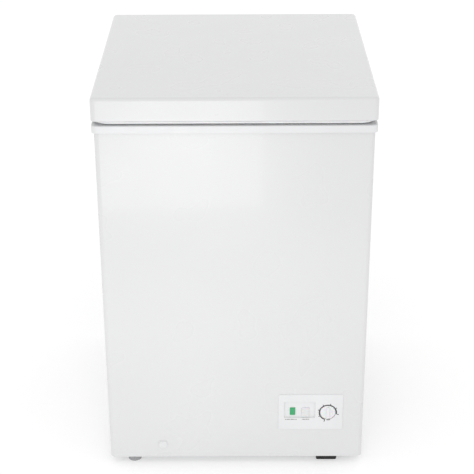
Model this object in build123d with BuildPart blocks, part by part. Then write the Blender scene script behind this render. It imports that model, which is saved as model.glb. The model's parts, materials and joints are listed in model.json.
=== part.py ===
from build123d import *
import os

os.makedirs("parts", exist_ok=True)

# A small chest freezer with a lift-up lid.
# Millimetres, +Z up, front towards -Y, +X to the right of somebody facing the front.
# The origin is on the floor, in the middle of the whole object's box.

# ---- driving dimensions -------------------------------------------------------------
LID_WIDTH = 560.0
LID_DEPTH = 580.0
HEIGHT = 850.0
HINGE_REACH = 14.0  # how far the hinges stand out behind the lid
CABINET_WIDTH = 551.0
CABINET_INSET = 4.5  # cabinet front behind the lid front
BASE_Z = 17.0  # underside of the cabinet above the floor
TRIM_BOTTOM_Z = 778.0
TRIM_TOP_Z = 793.0
LID_BOTTOM_Z = 803.0
SHEET = 1.0  # sheet metal
LINER_WALL = 1.5
CORNER_R = 10.0  # upright corners of cabinet, trim and lid
FIT = 0.1  # gap between sheets that are pushed together

# ---- places worked out from them ----------------------------------------------------
LID_FRONT = -(LID_DEPTH + HINGE_REACH) / 2
LID_BACK = LID_FRONT + LID_DEPTH
CAB_X = CABINET_WIDTH / 2
CAB_FRONT = LID_FRONT + CABINET_INSET
CAB_BACK = LID_BACK - 7.0
WRAP_TOP_Z = TRIM_TOP_Z - 3.0
IN_X = CAB_X - SHEET  # inner faces of the outer skin
IN_FRONT = CAB_FRONT + SHEET
IN_BACK = CAB_BACK - SHEET
FOAM_TOP_Z = WRAP_TOP_Z - 1.5

# storage space: a deep well on the left and a step over the machine bay on the right
SPACE_X = 215.5
SPACE_FRONT = -232.5
SPACE_BACK = 216.0
SPACE_FLOOR_Z = 87.0
SPACE_CORNER_R = 28.0
STEP_X = 30.0
STEP_Z = 325.0
LEDGE_Z = 750.0
LEDGE_WIDTH = 7.5  # front and back ledges that carry the basket

# machine bay, low on the right behind the control panel
BAY_X = 88.0
BAY_TOP_Z = 270.0

# control panel on the front of the bay
PANEL_LEFT, PANEL_RIGHT = 91.6, 230.8
PANEL_LOW, PANEL_HIGH = 88.0, 176.0
PANEL_FRONT = CAB_FRONT - 1.5
KNOB_X, KNOB_Z = 198.6, 131.0
KNOB_R = 16.5
SPINDLE_R = 3.0

# drain, low on the left
DRAIN_X, DRAIN_Y, DRAIN_Z = -159.5, -190.0, 50.0
DRAIN_BORE_R = 5.5
DRAIN_PIPE_R = 7.0

# feet on the left, pads on the right
FOOT_X = -224.0
FOOT_SPOTS = {"front": (FOOT_X, -270.6), "rear": (FOOT_X, 247.0)}
FOOT_R = 14.5
PAD_X = 199.0
PAD_WIDTH, PAD_DEPTH = 44.8, 30.0
PAD_SPOTS = {"front": (PAD_X, -266.5), "rear": (PAD_X, 246.0)}
PAD_BORE_R = 2.6

# hinges
HINGE_Y, HINGE_Z = LID_BACK + 2.0, TRIM_TOP_Z - 12.0
HINGE_XS = {"left": -180.0, "right": 180.0}
HINGE_HALF = 25.0
EAR = 3.0
PIN_R = 3.0

# screws at the back, all of one size
SCREW_R = 2.0
SCREW_REACH = 12.0
SCREW_DX = 13.0
BASE_SCREWS_Z = (710.0, 748.0)
LEAF_SCREWS_Z = (815.0, 835.0)
HINGE_SCREW_XS = [x + dx for x in HINGE_XS.values() for dx in (-SCREW_DX, SCREW_DX)]
BASE_SCREW_SPOTS = [(x, z) for x in HINGE_SCREW_XS for z in BASE_SCREWS_Z]
LEAF_SCREW_SPOTS = [(x, z) for x in HINGE_SCREW_XS for z in LEAF_SCREWS_Z]
COVER_SCREWS = [(x, z) for x in (101.5, 256.5) for z in (40.0, 146.0, 252.0)]


def level(z):
    """A horizontal sketch plane at height z."""
    return Plane.XY.offset(z)


def facing_front(y):
    """An upright sketch plane at depth y, with x across, z up and its normal to the front."""
    return Plane.XZ.offset(-y)


def facing_right(x):
    """An upright sketch plane at x, with y across, z up and its normal to the right."""
    return Plane.YZ.offset(x)


def middle(low, high):
    return (low + high) / 2


def cabinet_outline(half_width, front, back, front_radius):
    """Plan outline with only its two front corners rounded, for use inside a BuildSketch."""
    with Locations((0, middle(front, back))):
        outline = Rectangle(2 * half_width, back - front)
    fillet(outline.vertices().sort_by(Axis.Y)[:2], front_radius)


def tube(points, radii, outer, inner):
    """A pipe along straight runs joined by tangent arcs."""
    with BuildPart() as pipe:
        with BuildLine() as route:
            FilletPolyline(*points, radius=radii)
        with BuildSketch(Plane(route.line @ 0, z_dir=route.line % 0)):
            Circle(outer)
            if inner:
                Circle(inner, mode=Mode.SUBTRACT)
        sweep(path=route.line)
    return pipe.part


def storage_space(grow):
    """The space that the liner walls in, grown outwards by the given thickness."""
    with BuildPart() as space:
        with BuildSketch(level(SPACE_FLOOR_Z - grow)):
            with Locations((middle(-SPACE_X, STEP_X), middle(SPACE_FRONT, SPACE_BACK))):
                floor = Rectangle(
                    STEP_X + SPACE_X + 2 * grow, SPACE_BACK - SPACE_FRONT + 2 * grow
                )
            fillet(floor.vertices(), SPACE_CORNER_R + grow)
        extrude(amount=STEP_Z - SPACE_FLOOR_Z + 40)
        with BuildSketch(level(STEP_Z - grow)):
            with Locations((0, middle(SPACE_FRONT, SPACE_BACK))):
                room = Rectangle(2 * (SPACE_X + grow), SPACE_BACK - SPACE_FRONT + 2 * grow)
            fillet(room.vertices(), SPACE_CORNER_R + grow)
        extrude(amount=LEDGE_Z - STEP_Z + grow + 5)
        with BuildSketch(level(LEDGE_Z - grow)):
            with Locations((0, middle(SPACE_FRONT, SPACE_BACK))):
                rim = Rectangle(
                    2 * (SPACE_X + grow),
                    SPACE_BACK - SPACE_FRONT + 2 * (LEDGE_WIDTH + grow),
                )
            fillet(rim.vertices(), SPACE_CORNER_R + grow)
        extrude(amount=WRAP_TOP_Z + 5 - LEDGE_Z + grow)
        fillet(space.faces().sort_by(Axis.Z)[0].edges(), 8 + grow)
    return space.part


liner_inside = storage_space(0)
liner_outside = storage_space(LINER_WALL)

# =====================================================================================
# Cabinet: outer skin, back, base, foam and liner
# =====================================================================================
FLANGE = 12.0
LOUVRE_LENGTH, LOUVRE_DROP, LOUVRE_PITCH = 70.0, 6.0, 14.0
LOUVRE_YS = (-150.0, -40.0, 70.0)
LOUVRE_ZS = [70 + LOUVRE_PITCH * i for i in range(11)]

with BuildPart() as cabinet_wrapper:
    with BuildSketch(level(BASE_Z)):
        cabinet_outline(CAB_X, CAB_FRONT, CAB_BACK, CORNER_R)
    extrude(amount=WRAP_TOP_Z - BASE_Z)
    with BuildSketch(level(BASE_Z + SHEET)):
        cabinet_outline(IN_X, IN_FRONT, IN_BACK, CORNER_R - SHEET)
    extrude(amount=WRAP_TOP_Z - BASE_Z - 2 * SHEET, mode=Mode.SUBTRACT)
    # the base and the top stay as narrow flanges turned inwards
    for z in (BASE_Z, WRAP_TOP_Z - SHEET):
        with BuildSketch(level(z)):
            cabinet_outline(CAB_X - FLANGE, CAB_FRONT + FLANGE, CAB_BACK - FLANGE, 2)
        extrude(amount=SHEET, mode=Mode.SUBTRACT)
    with BuildSketch(facing_front(CAB_BACK)):
        with Locations((0, middle(BASE_Z, WRAP_TOP_Z))):
            Rectangle(2 * (CAB_X - FLANGE - 1), WRAP_TOP_Z - BASE_Z - 2 * FLANGE)
    extrude(amount=SHEET, mode=Mode.SUBTRACT)
    # window for the control panel and hole for the drain
    with BuildSketch(facing_front(IN_FRONT)):
        with Locations((middle(PANEL_LEFT, PANEL_RIGHT), middle(PANEL_LOW, PANEL_HIGH))):
            RectangleRounded(PANEL_RIGHT - PANEL_LEFT - 4, PANEL_HIGH - PANEL_LOW - 4, 3)
        with Locations((DRAIN_X, DRAIN_Z)):
            Circle(DRAIN_PIPE_R + FIT)
    extrude(amount=SHEET, mode=Mode.SUBTRACT)
    # louvres pressed outwards in the right side, open downwards
    for y in LOUVRE_YS:
        with BuildSketch(facing_right(IN_X)):
            for z in LOUVRE_ZS:
                with Locations((y, z + LOUVRE_DROP / 2)):
                    Rectangle(LOUVRE_LENGTH, LOUVRE_DROP - 1)
        extrude(amount=SHEET, mode=Mode.SUBTRACT)
        with BuildSketch(facing_front(y + LOUVRE_LENGTH / 2)):
            for z in LOUVRE_ZS:
                with BuildLine():
                    Polyline(
                        (IN_X, z + LOUVRE_DROP + 1),
                        (IN_X, z + LOUVRE_DROP - 0.8),
                        (CAB_X + 2.2, z),
                        (CAB_X + 3.2, z),
                        (CAB_X + 3.2, z + 1),
                        (CAB_X, z + LOUVRE_DROP + 1),
                        close=True,
                    )
                make_face()
        extrude(amount=LOUVRE_LENGTH)
cabinet_wrapper.part.label = "cabinet_wrapper"
export_step(cabinet_wrapper.part, "parts/cabinet_wrapper.step")

BAY_COVER_X = (97.0, 261.0)
BAY_COVER_Z = (30.0, 262.0)
COVER_LAP = 9.0

with BuildPart() as back_panel:
    with BuildSketch(facing_front(IN_BACK)):
        with Locations((0, middle(BASE_Z + SHEET, WRAP_TOP_Z - SHEET))):
            Rectangle(2 * (IN_X - FIT), WRAP_TOP_Z - BASE_Z - 2 * SHEET - 2 * FIT)
        with Locations((middle(*BAY_COVER_X), middle(*BAY_COVER_Z))):
            RectangleRounded(
                BAY_COVER_X[1] - BAY_COVER_X[0] - 2 * COVER_LAP,
                BAY_COVER_Z[1] - BAY_COVER_Z[0] - 2 * COVER_LAP,
                6,
                mode=Mode.SUBTRACT,
            )
        with Locations(*BASE_SCREW_SPOTS, *COVER_SCREWS):
            Circle(SCREW_R + FIT, mode=Mode.SUBTRACT)
    extrude(amount=SHEET)
    # two upright stiffening beads pressed outwards, and a round foam filling port's dimple
    with BuildSketch(facing_front(IN_BACK + 1.0)):
        for x in (-150.0, 0.0):
            with Locations((x, 400)):
                SlotOverall(420, 16, rotation=90)
        with Locations((-75, 640)):
            Circle(17)
    extrude(amount=1.0)
back_panel.part.label = "back_panel"
export_step(back_panel.part, "parts/back_panel.step")

PAN_TOP_Z = BASE_Z + 2 * SHEET

with BuildPart() as bottom_pan:
    with BuildSketch(level(BASE_Z + SHEET)):
        cabinet_outline(IN_X - FIT, IN_FRONT + FIT, IN_BACK - SHEET - FIT, CORNER_R - SHEET)
        with Locations((BAY_X + 200, 0)):
            Rectangle(400, 700, mode=Mode.SUBTRACT)
        with Locations(*FOOT_SPOTS.values()):
            Circle(4.6, mode=Mode.SUBTRACT)
    extrude(amount=SHEET)
bottom_pan.part.label = "bottom_pan"
export_step(bottom_pan.part, "parts/bottom_pan.step")

# holes in the roof of the bay for the refrigerant pipes and the sensor
CONDENSER_X = IN_X - 2.6
CONDENSER_IN_Y = 235.0
RETURN_X, RETURN_Y = CONDENSER_X - 6.0, 258.0
EVAP_IN = (150.0, 250.0)
EVAP_OUT_Z = 130.0
SENSOR_PASS = (110.0, -200.0)

with BuildPart() as machine_bay_wall:
    with BuildSketch(facing_front(IN_BACK - SHEET - FIT)):
        with BuildLine():
            Polyline(
                (BAY_X, BASE_Z + SHEET),
                (BAY_X + SHEET, BASE_Z + SHEET),
                (BAY_X + SHEET, BAY_TOP_Z - SHEET),
                (IN_X - FIT, BAY_TOP_Z - SHEET),
                (IN_X - FIT, BAY_TOP_Z),
                (BAY_X, BAY_TOP_Z),
                close=True,
            )
        make_face()
    extrude(amount=IN_BACK - SHEET - IN_FRONT - 2 * FIT)
    with BuildSketch(level(BAY_TOP_Z - SHEET)):
        with Locations((CONDENSER_X, CONDENSER_IN_Y), (RETURN_X, RETURN_Y)):
            Circle(4)
        with Locations(EVAP_IN):
            Circle(4.5)
        with Locations(SENSOR_PASS):
            Circle(3)
        with Locations((CAB_X, IN_FRONT)):
            Circle(CORNER_R)
    extrude(amount=SHEET, mode=Mode.SUBTRACT)
    with BuildSketch(facing_right(BAY_X)):
        with Locations((EVAP_IN[1], EVAP_OUT_Z)):
            Circle(4.5)
    extrude(amount=SHEET, mode=Mode.SUBTRACT)
machine_bay_wall.part.label = "machine_bay_wall"
export_step(machine_bay_wall.part, "parts/machine_bay_wall.step")

# ---- compressor and its tray ---------------------------------------------------------
TRAY_Z = BASE_Z + SHEET
TRAY_THICK = 1.5
TRAY_TOP_Z = TRAY_Z + TRAY_THICK
COMP_X, COMP_Y = 178.0, 118.0
COMP_A, COMP_B = 56.0, 70.0
COMP_LOW_Z, COMP_HIGH_Z = 34.0, 176.0
COMP_SEAM_Z = 112.0
MOUNT_DX, MOUNT_DY = 46.0, 84.0
GROMMET_SPOTS = [(COMP_X + i * MOUNT_DX, COMP_Y + j * MOUNT_DY) for i in (-1, 1) for j in (-1, 1)]
PLATE_Z = COMP_LOW_Z - 2.5

with BuildPart() as compressor_tray:
    with BuildSketch(level(TRAY_Z)):
        with BuildLine():
            front_edge, back_edge = IN_FRONT + FIT, IN_BACK - SHEET - FIT
            Polyline(
                (BAY_X + SHEET + FIT, front_edge),
                (IN_X - CORNER_R, front_edge),
                (IN_X - FIT, front_edge + CORNER_R),
                (IN_X - FIT, back_edge),
                (BAY_X + SHEET + FIT, back_edge),
                close=True,
            )
        make_face()
        with Locations(*GROMMET_SPOTS):
            Circle(3.1, mode=Mode.SUBTRACT)
        with Locations(*PAD_SPOTS.values()):
            Circle(PAD_BORE_R, mode=Mode.SUBTRACT)
        with Locations(*[(COMP_X, y) for y in (-190, -160, -130, -100, -70)]):
            SlotOverall(110, 10, mode=Mode.SUBTRACT)
    extrude(amount=TRAY_THICK)
    # upturned edge along the foam side
    with BuildSketch(level(TRAY_TOP_Z)):
        with Locations((BAY_X + SHEET + FIT + 0.75, 0)):
            Rectangle(1.5, 500)
    extrude(amount=14)
compressor_tray.part.label = "compressor_tray"
export_step(compressor_tray.part, "parts/compressor_tray.step")

with BuildPart() as compressor:
    with BuildSketch(level(COMP_LOW_Z)):
        with Locations((COMP_X, COMP_Y)):
            Ellipse(COMP_B, COMP_A, rotation=90)
    extrude(amount=COMP_HIGH_Z - COMP_LOW_Z)
    fillet(compressor.faces().sort_by(Axis.Z)[-1].edges(), 26)
    fillet(compressor.faces().sort_by(Axis.Z)[0].edges(), 18)
    # welded seam round the middle
    with BuildSketch(level(COMP_SEAM_Z)):
        with Locations((COMP_X, COMP_Y)):
            Ellipse(COMP_B + 4, COMP_A + 4, rotation=90)
    extrude(amount=4)
    # mounting plate under the shell
    with BuildSketch(level(PLATE_Z)):
        with Locations((COMP_X, COMP_Y)):
            RectangleRounded(2 * MOUNT_DX + 30, 2 * MOUNT_DY + 30, 12)
            Rectangle(60, 2 * MOUNT_DY - 60, mode=Mode.SUBTRACT)
        with Locations(*GROMMET_SPOTS):
            Circle(7, mode=Mode.SUBTRACT)
    extrude(amount=2.5)
compressor.part.label = "compressor"
export_step(compressor.part, "parts/compressor.step")

with BuildPart() as compressor_grommets:
    for x, y in GROMMET_SPOTS:
        with BuildSketch(Plane((x, y, TRAY_TOP_Z), x_dir=(1, 0, 0), z_dir=(0, -1, 0))):
            with BuildLine():
                Polyline(
                    (4, 0),
                    (11, 0),
                    (9.5, 4),
                    (11, PLATE_Z - TRAY_TOP_Z),
                    (6.9, PLATE_Z - TRAY_TOP_Z),
                    (6.9, COMP_LOW_Z - TRAY_TOP_Z),
                    (10, COMP_LOW_Z - TRAY_TOP_Z),
                    (10, COMP_LOW_Z - TRAY_TOP_Z + 4),
                    (4, COMP_LOW_Z - TRAY_TOP_Z + 4),
                    close=True,
                )
            make_face()
        revolve(axis=Axis((x, y, 0), (0, 0, 1)))
compressor_grommets.part.label = "compressor_grommets"
export_step(compressor_grommets.part, "parts/compressor_grommets.step")

STUD_TOP_Z = COMP_LOW_Z + 14.0
with BuildPart() as compressor_bolts:
    for x, y in GROMMET_SPOTS:
        with BuildSketch(level(BASE_Z + SHEET - 0.5)):
            with Locations((x, y)):
                Circle(3)
        extrude(amount=STUD_TOP_Z - BASE_Z - 0.5)
        # washer and nut on top of the grommet
        with BuildSketch(level(COMP_LOW_Z + 4)):
            with Locations((x, y)):
                Circle(8)
        extrude(amount=1.2)
        with BuildSketch(level(COMP_LOW_Z + 5.2)):
            with Locations((x, y)):
                RegularPolygon(5.8, 6)
        extrude(amount=5)
compressor_bolts.part.label = "compressor_bolts"
export_step(compressor_bolts.part, "parts/compressor_bolts.step")

RELAY_FRONT = COMP_Y - COMP_B - 34.0
with BuildPart() as start_relay_cover:
    with BuildSketch(level(72)):
        with Locations((COMP_X, middle(RELAY_FRONT, COMP_Y - 40))):
            RectangleRounded(56, COMP_Y - 40 - RELAY_FRONT, 4)
    extrude(amount=36)
    fillet(start_relay_cover.faces().sort_by(Axis.Z)[-1].edges(), 3)
    with BuildSketch(level(60)):
        with Locations((COMP_X, COMP_Y)):
            Ellipse(COMP_B + 0.3, COMP_A + 0.3, rotation=90)
    extrude(amount=60, mode=Mode.SUBTRACT)
start_relay_cover.part.label = "start_relay_cover"
export_step(start_relay_cover.part, "parts/start_relay_cover.step")

# ---- refrigerant circuit --------------------------------------------------------------
PIPE_Z = BAY_TOP_Z - 8.0  # joints just under the roof of the bay
CONDENSER_R = 2.5
CONDENSER_FRONT = IN_FRONT + 2.6
RUN_ZS = [340.0 + 80 * i for i in range(6)]

condenser_points = [(CONDENSER_X, CONDENSER_IN_Y, PIPE_Z)]
side = 1
for z in RUN_ZS:
    condenser_points += [
        (side * CONDENSER_X, CONDENSER_IN_Y, z),
        (side * CONDENSER_X, CONDENSER_FRONT, z),
        (-side * CONDENSER_X, CONDENSER_FRONT, z),
        (-side * CONDENSER_X, CONDENSER_IN_Y, z),
    ]
    side = -side
# the last run goes on to the back and down again into the bay
condenser_points[-1] = (CONDENSER_X, 190, RUN_ZS[-1])
condenser_points += [
    (RETURN_X, 215, RUN_ZS[-1]),
    (RETURN_X, RETURN_Y, RUN_ZS[-1]),
    (RETURN_X, RETURN_Y, PIPE_Z),
]
with BuildPart() as condenser_coil:
    add(tube(condenser_points, 18, CONDENSER_R, 1.8))
condenser_coil.part.label = "condenser_coil"
export_step(condenser_coil.part, "parts/condenser_coil.step")

EVAP_R = 4.0
EVAP_LEVELS = [720.0, 650.0, 580.0, 510.0, 440.0, 370.0, 250.0, 190.0, EVAP_OUT_Z]
EVAP_OFF = LINER_WALL + EVAP_R + 0.1
EVAP_LEFT = -SPACE_X - EVAP_OFF
EVAP_FRONT = SPACE_FRONT - EVAP_OFF
EVAP_BACK = SPACE_BACK + EVAP_OFF
FEED_Z = 300.0
RISER_STEP = 20.0
RISERS = [-190.0 + RISER_STEP * i for i in range(len(EVAP_LEVELS) + 1)]


def evaporator_right(z):
    """Right-hand limit of the coil at height z: round the whole space or only the well."""
    return (SPACE_X if z > STEP_Z else STEP_X) + EVAP_OFF


# up from the bay, once round the liner at each level, then out through the bay's side wall
evaporator_points = [
    (EVAP_IN[0], EVAP_IN[1], PIPE_Z),
    (EVAP_IN[0], EVAP_IN[1], FEED_Z),
    (RISERS[0], EVAP_IN[1], FEED_Z),
    (RISERS[0], EVAP_IN[1], EVAP_LEVELS[0]),
]
evaporator_radii = [14, 14, 14]
for z, start, end in zip(EVAP_LEVELS, RISERS, RISERS[1:]):
    evaporator_points += [
        (start, EVAP_BACK, z),
        (EVAP_LEFT, EVAP_BACK, z),
        (EVAP_LEFT, EVAP_FRONT, z),
        (evaporator_right(z), EVAP_FRONT, z),
        (evaporator_right(z), EVAP_BACK, z),
        (end, EVAP_BACK, z),
    ]
    evaporator_radii += [9, 18, 18, 18, 18, 9]
EVAP_OUT_X = BAY_X + 8.0
evaporator_points += [
    (RISERS[-1], EVAP_IN[1], EVAP_OUT_Z),
    (EVAP_OUT_X, EVAP_IN[1], EVAP_OUT_Z),
]
evaporator_radii += [14]
with BuildPart() as evaporator_coil:
    add(tube(evaporator_points, evaporator_radii, EVAP_R, 3.2))
evaporator_coil.part.label = "evaporator_coil"
export_step(evaporator_coil.part, "parts/evaporator_coil.step")

SUCTION_X = 108.0
with BuildPart() as suction_line:
    suction_points = [
        (EVAP_OUT_X, EVAP_IN[1], EVAP_OUT_Z),
        (SUCTION_X, EVAP_IN[1], EVAP_OUT_Z),
        (SUCTION_X, COMP_Y, EVAP_OUT_Z),
        (SUCTION_X, COMP_Y, 90),
        (COMP_X - COMP_A, COMP_Y, 90),
    ]
    add(tube(suction_points, [8, 12, 10], EVAP_R, 3.2))
suction_line.part.label = "suction_line"
export_step(suction_line.part, "parts/suction_line.step")

with BuildPart() as discharge_line:
    discharge_points = [
        (COMP_X + COMP_A, COMP_Y, 62),
        (CONDENSER_X, COMP_Y, 62),
        (CONDENSER_X, COMP_Y, 242),
        (CONDENSER_X, CONDENSER_IN_Y, 242),
        (CONDENSER_X, CONDENSER_IN_Y, PIPE_Z),
    ]
    add(tube(discharge_points, [14, 14, 8], CONDENSER_R, 1.8))
discharge_line.part.label = "discharge_line"
export_step(discharge_line.part, "parts/discharge_line.step")

DRYER_LOW_Z, DRYER_HIGH_Z = 140.0, 250.0
with BuildPart() as filter_dryer:
    with BuildSketch(Plane((RETURN_X, RETURN_Y, 0), x_dir=(1, 0, 0), z_dir=(0, -1, 0))):
        with BuildLine():
            Polyline(
                (0, DRYER_LOW_Z),
                (1.6, DRYER_LOW_Z),
                (1.6, DRYER_LOW_Z + 12),
                (8, DRYER_LOW_Z + 20),
                (8, DRYER_HIGH_Z - 12),
                (2.5, DRYER_HIGH_Z - 4),
                (2.5, PIPE_Z),
                (0, PIPE_Z),
                close=True,
            )
        make_face()
    revolve(axis=Axis((RETURN_X, RETURN_Y, 0), (0, 0, 1)))
filter_dryer.part.label = "filter_dryer"
export_step(filter_dryer.part, "parts/filter_dryer.step")

with BuildPart() as capillary_tube:
    capillary_points = [
        (RETURN_X, RETURN_Y, DRYER_LOW_Z),
        (RETURN_X, RETURN_Y, 112),
        (226, 244, 112),
        (184, 226, 140),
        (150, 232, 190),
        (EVAP_IN[0], EVAP_IN[1], 226),
        (EVAP_IN[0], EVAP_IN[1], PIPE_Z),
    ]
    add(tube(capillary_points, 10, 1.0, 0))
capillary_tube.part.label = "capillary_tube"
export_step(capillary_tube.part, "parts/capillary_tube.step")

with BuildPart() as process_tube:
    process_points = [
        (COMP_X, COMP_Y + COMP_B, 92),
        (COMP_X, COMP_Y + COMP_B + 22, 92),
        (COMP_X, COMP_Y + COMP_B + 22, 150),
    ]
    add(tube(process_points, 12, 3, 2.2))
    # pinched and brazed end
    with BuildSketch(level(149)):
        with Locations((COMP_X, COMP_Y + COMP_B + 22)):
            RectangleRounded(8, 2, 0.8)
    extrude(amount=10)
process_tube.part.label = "process_tube"
export_step(process_tube.part, "parts/process_tube.step")

# ---- drain ---------------------------------------------------------------------------
CAP_STEM_R = DRAIN_BORE_R - 0.08
with BuildPart() as drain_tube:
    drain_points = [
        (DRAIN_X, DRAIN_Y, SPACE_FLOOR_Z),
        (DRAIN_X, DRAIN_Y, DRAIN_Z),
        (DRAIN_X, CAB_FRONT - 1.2, DRAIN_Z),
    ]
    add(tube(drain_points, 18, DRAIN_PIPE_R, DRAIN_BORE_R))
    # collar outside the cabinet front
    with BuildSketch(facing_front(CAB_FRONT)):
        with Locations((DRAIN_X, DRAIN_Z)):
            Circle(10)
            Circle(DRAIN_BORE_R, mode=Mode.SUBTRACT)
    extrude(amount=1.2)
drain_tube.part.label = "drain_tube"
export_step(drain_tube.part, "parts/drain_tube.step")

CAP_BACK_Y = CAB_FRONT - 1.3
with BuildPart() as outer_drain_cap:
    with BuildSketch(facing_front(CAP_BACK_Y)):
        with Locations((DRAIN_X, DRAIN_Z)):
            Circle(8.5)
    extrude(amount=1.6)
    fillet(outer_drain_cap.faces().sort_by(Axis.Y)[0].edges(), 0.8)
    with BuildSketch(facing_front(CAP_BACK_Y + 14)):
        with Locations((DRAIN_X, DRAIN_Z)):
            Circle(CAP_STEM_R)
    extrude(amount=14)
    # finger grip
    with BuildSketch(facing_front(CAP_BACK_Y - 1.4)):
        with Locations((DRAIN_X, DRAIN_Z)):
            SlotOverall(13, 3.2, rotation=90)
    extrude(amount=1.8)
outer_drain_cap.part.label = "outer_drain_cap"
export_step(outer_drain_cap.part, "parts/outer_drain_cap.step")

with BuildPart() as inner_drain_plug:
    with BuildSketch(level(SPACE_FLOOR_Z + FIT)):
        with Locations((DRAIN_X, DRAIN_Y)):
            Circle(11)
    extrude(amount=2.8)
    fillet(inner_drain_plug.faces().sort_by(Axis.Z)[-1].edges(), 1.2)
    with BuildSketch(level(SPACE_FLOOR_Z + FIT - 15)):
        with Locations((DRAIN_X, DRAIN_Y)):
            Circle(CAP_STEM_R)
    extrude(amount=15)
    with BuildSketch(level(SPACE_FLOOR_Z + 2.6)):
        with Locations((DRAIN_X, DRAIN_Y)):
            SlotOverall(15, 3.4)
    extrude(amount=5.4)
inner_drain_plug.part.label = "inner_drain_plug"
export_step(inner_drain_plug.part, "parts/inner_drain_plug.step")

# ---- feet and pads -------------------------------------------------------------------
STEM_R = 3.95
STEM_TOP_Z = 46.0
NUT_THICK = 7.0

for place, (x, y) in FOOT_SPOTS.items():
    with BuildPart() as levelling_foot:
        with BuildSketch(level(0)):
            with Locations((x, y)):
                Circle(FOOT_R)
            # finger grooves round the rim
            with Locations((x, y)):
                with PolarLocations(FOOT_R + 0.6, 20):
                    Circle(1.5, mode=Mode.SUBTRACT)
        extrude(amount=11)
        chamfer(levelling_foot.faces().sort_by(Axis.Z)[0].outer_wire().edges(), 0.8)
        with BuildSketch(level(11)):
            with Locations((x, y)):
                Circle(9)
        extrude(amount=4)
        with BuildSketch(level(15)):
            with Locations((x, y)):
                Circle(STEM_R)
        extrude(amount=STEM_TOP_Z - 15)
    levelling_foot.part.label = f"levelling_foot_{place}"
    export_step(levelling_foot.part, f"parts/levelling_foot_{place}.step")

with BuildPart() as foot_nuts:
    with BuildSketch(level(PAN_TOP_Z)):
        for x, y in FOOT_SPOTS.values():
            with Locations((x, y)):
                RegularPolygon(7.5, 6)
                Circle(STEM_R + 0.06, mode=Mode.SUBTRACT)
    extrude(amount=NUT_THICK)
foot_nuts.part.label = "foot_nuts"
export_step(foot_nuts.part, "parts/foot_nuts.step")

for place, (x, y) in PAD_SPOTS.items():
    with BuildPart() as foot_pad:
        with BuildSketch(level(0)):
            with Locations((x, y)):
                RectangleRounded(PAD_WIDTH, PAD_DEPTH, 4)
        extrude(amount=BASE_Z)
        fillet(foot_pad.faces().sort_by(Axis.Z)[0].edges(), 1.5)
        # boss that reaches up inside the cabinet's bottom flange
        with BuildSketch(level(BASE_Z)):
            with Locations((x, y)):
                Rectangle(PAD_WIDTH - 6, PAD_DEPTH - 5)
        extrude(amount=SHEET)
        with Locations((x, y, 0)):
            Cylinder(PAD_BORE_R, 60, mode=Mode.SUBTRACT)
            Cylinder(5.2, 8, mode=Mode.SUBTRACT)
    foot_pad.part.label = f"foot_pad_{place}"
    export_step(foot_pad.part, f"parts/foot_pad_{place}.step")

with BuildPart() as pad_screws:
    for x, y in PAD_SPOTS.values():
        with BuildSketch(level(4)):
            with Locations((x, y)):
                Circle(2.5)
        extrude(amount=20)
        with BuildSketch(level(1)):
            with Locations((x, y)):
                Circle(4.8)
        extrude(amount=3)
pad_screws.part.label = "pad_screws"
export_step(pad_screws.part, "parts/pad_screws.step")

# =====================================================================================
# Control panel, thermostat, lamps and wiring
# =====================================================================================
PANEL_X, PANEL_Z = middle(PANEL_LEFT, PANEL_RIGHT), middle(PANEL_LOW, PANEL_HIGH)
POCKET_X, POCKET_Z = (104.0, 171.4), (117.7, 158.4)
POCKET_FLOOR_Y = PANEL_FRONT + 3.0
DISH_R = 17.4
DISH_FLOOR_Y = PANEL_FRONT + 8.0
LENSES = {
    "power": {"x": (116.6, 128.2), "z": (123.8, 142.3)},
    "run": {"x": (141.3, 158.2), "z": (118.7, 141.9)},
}

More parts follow.
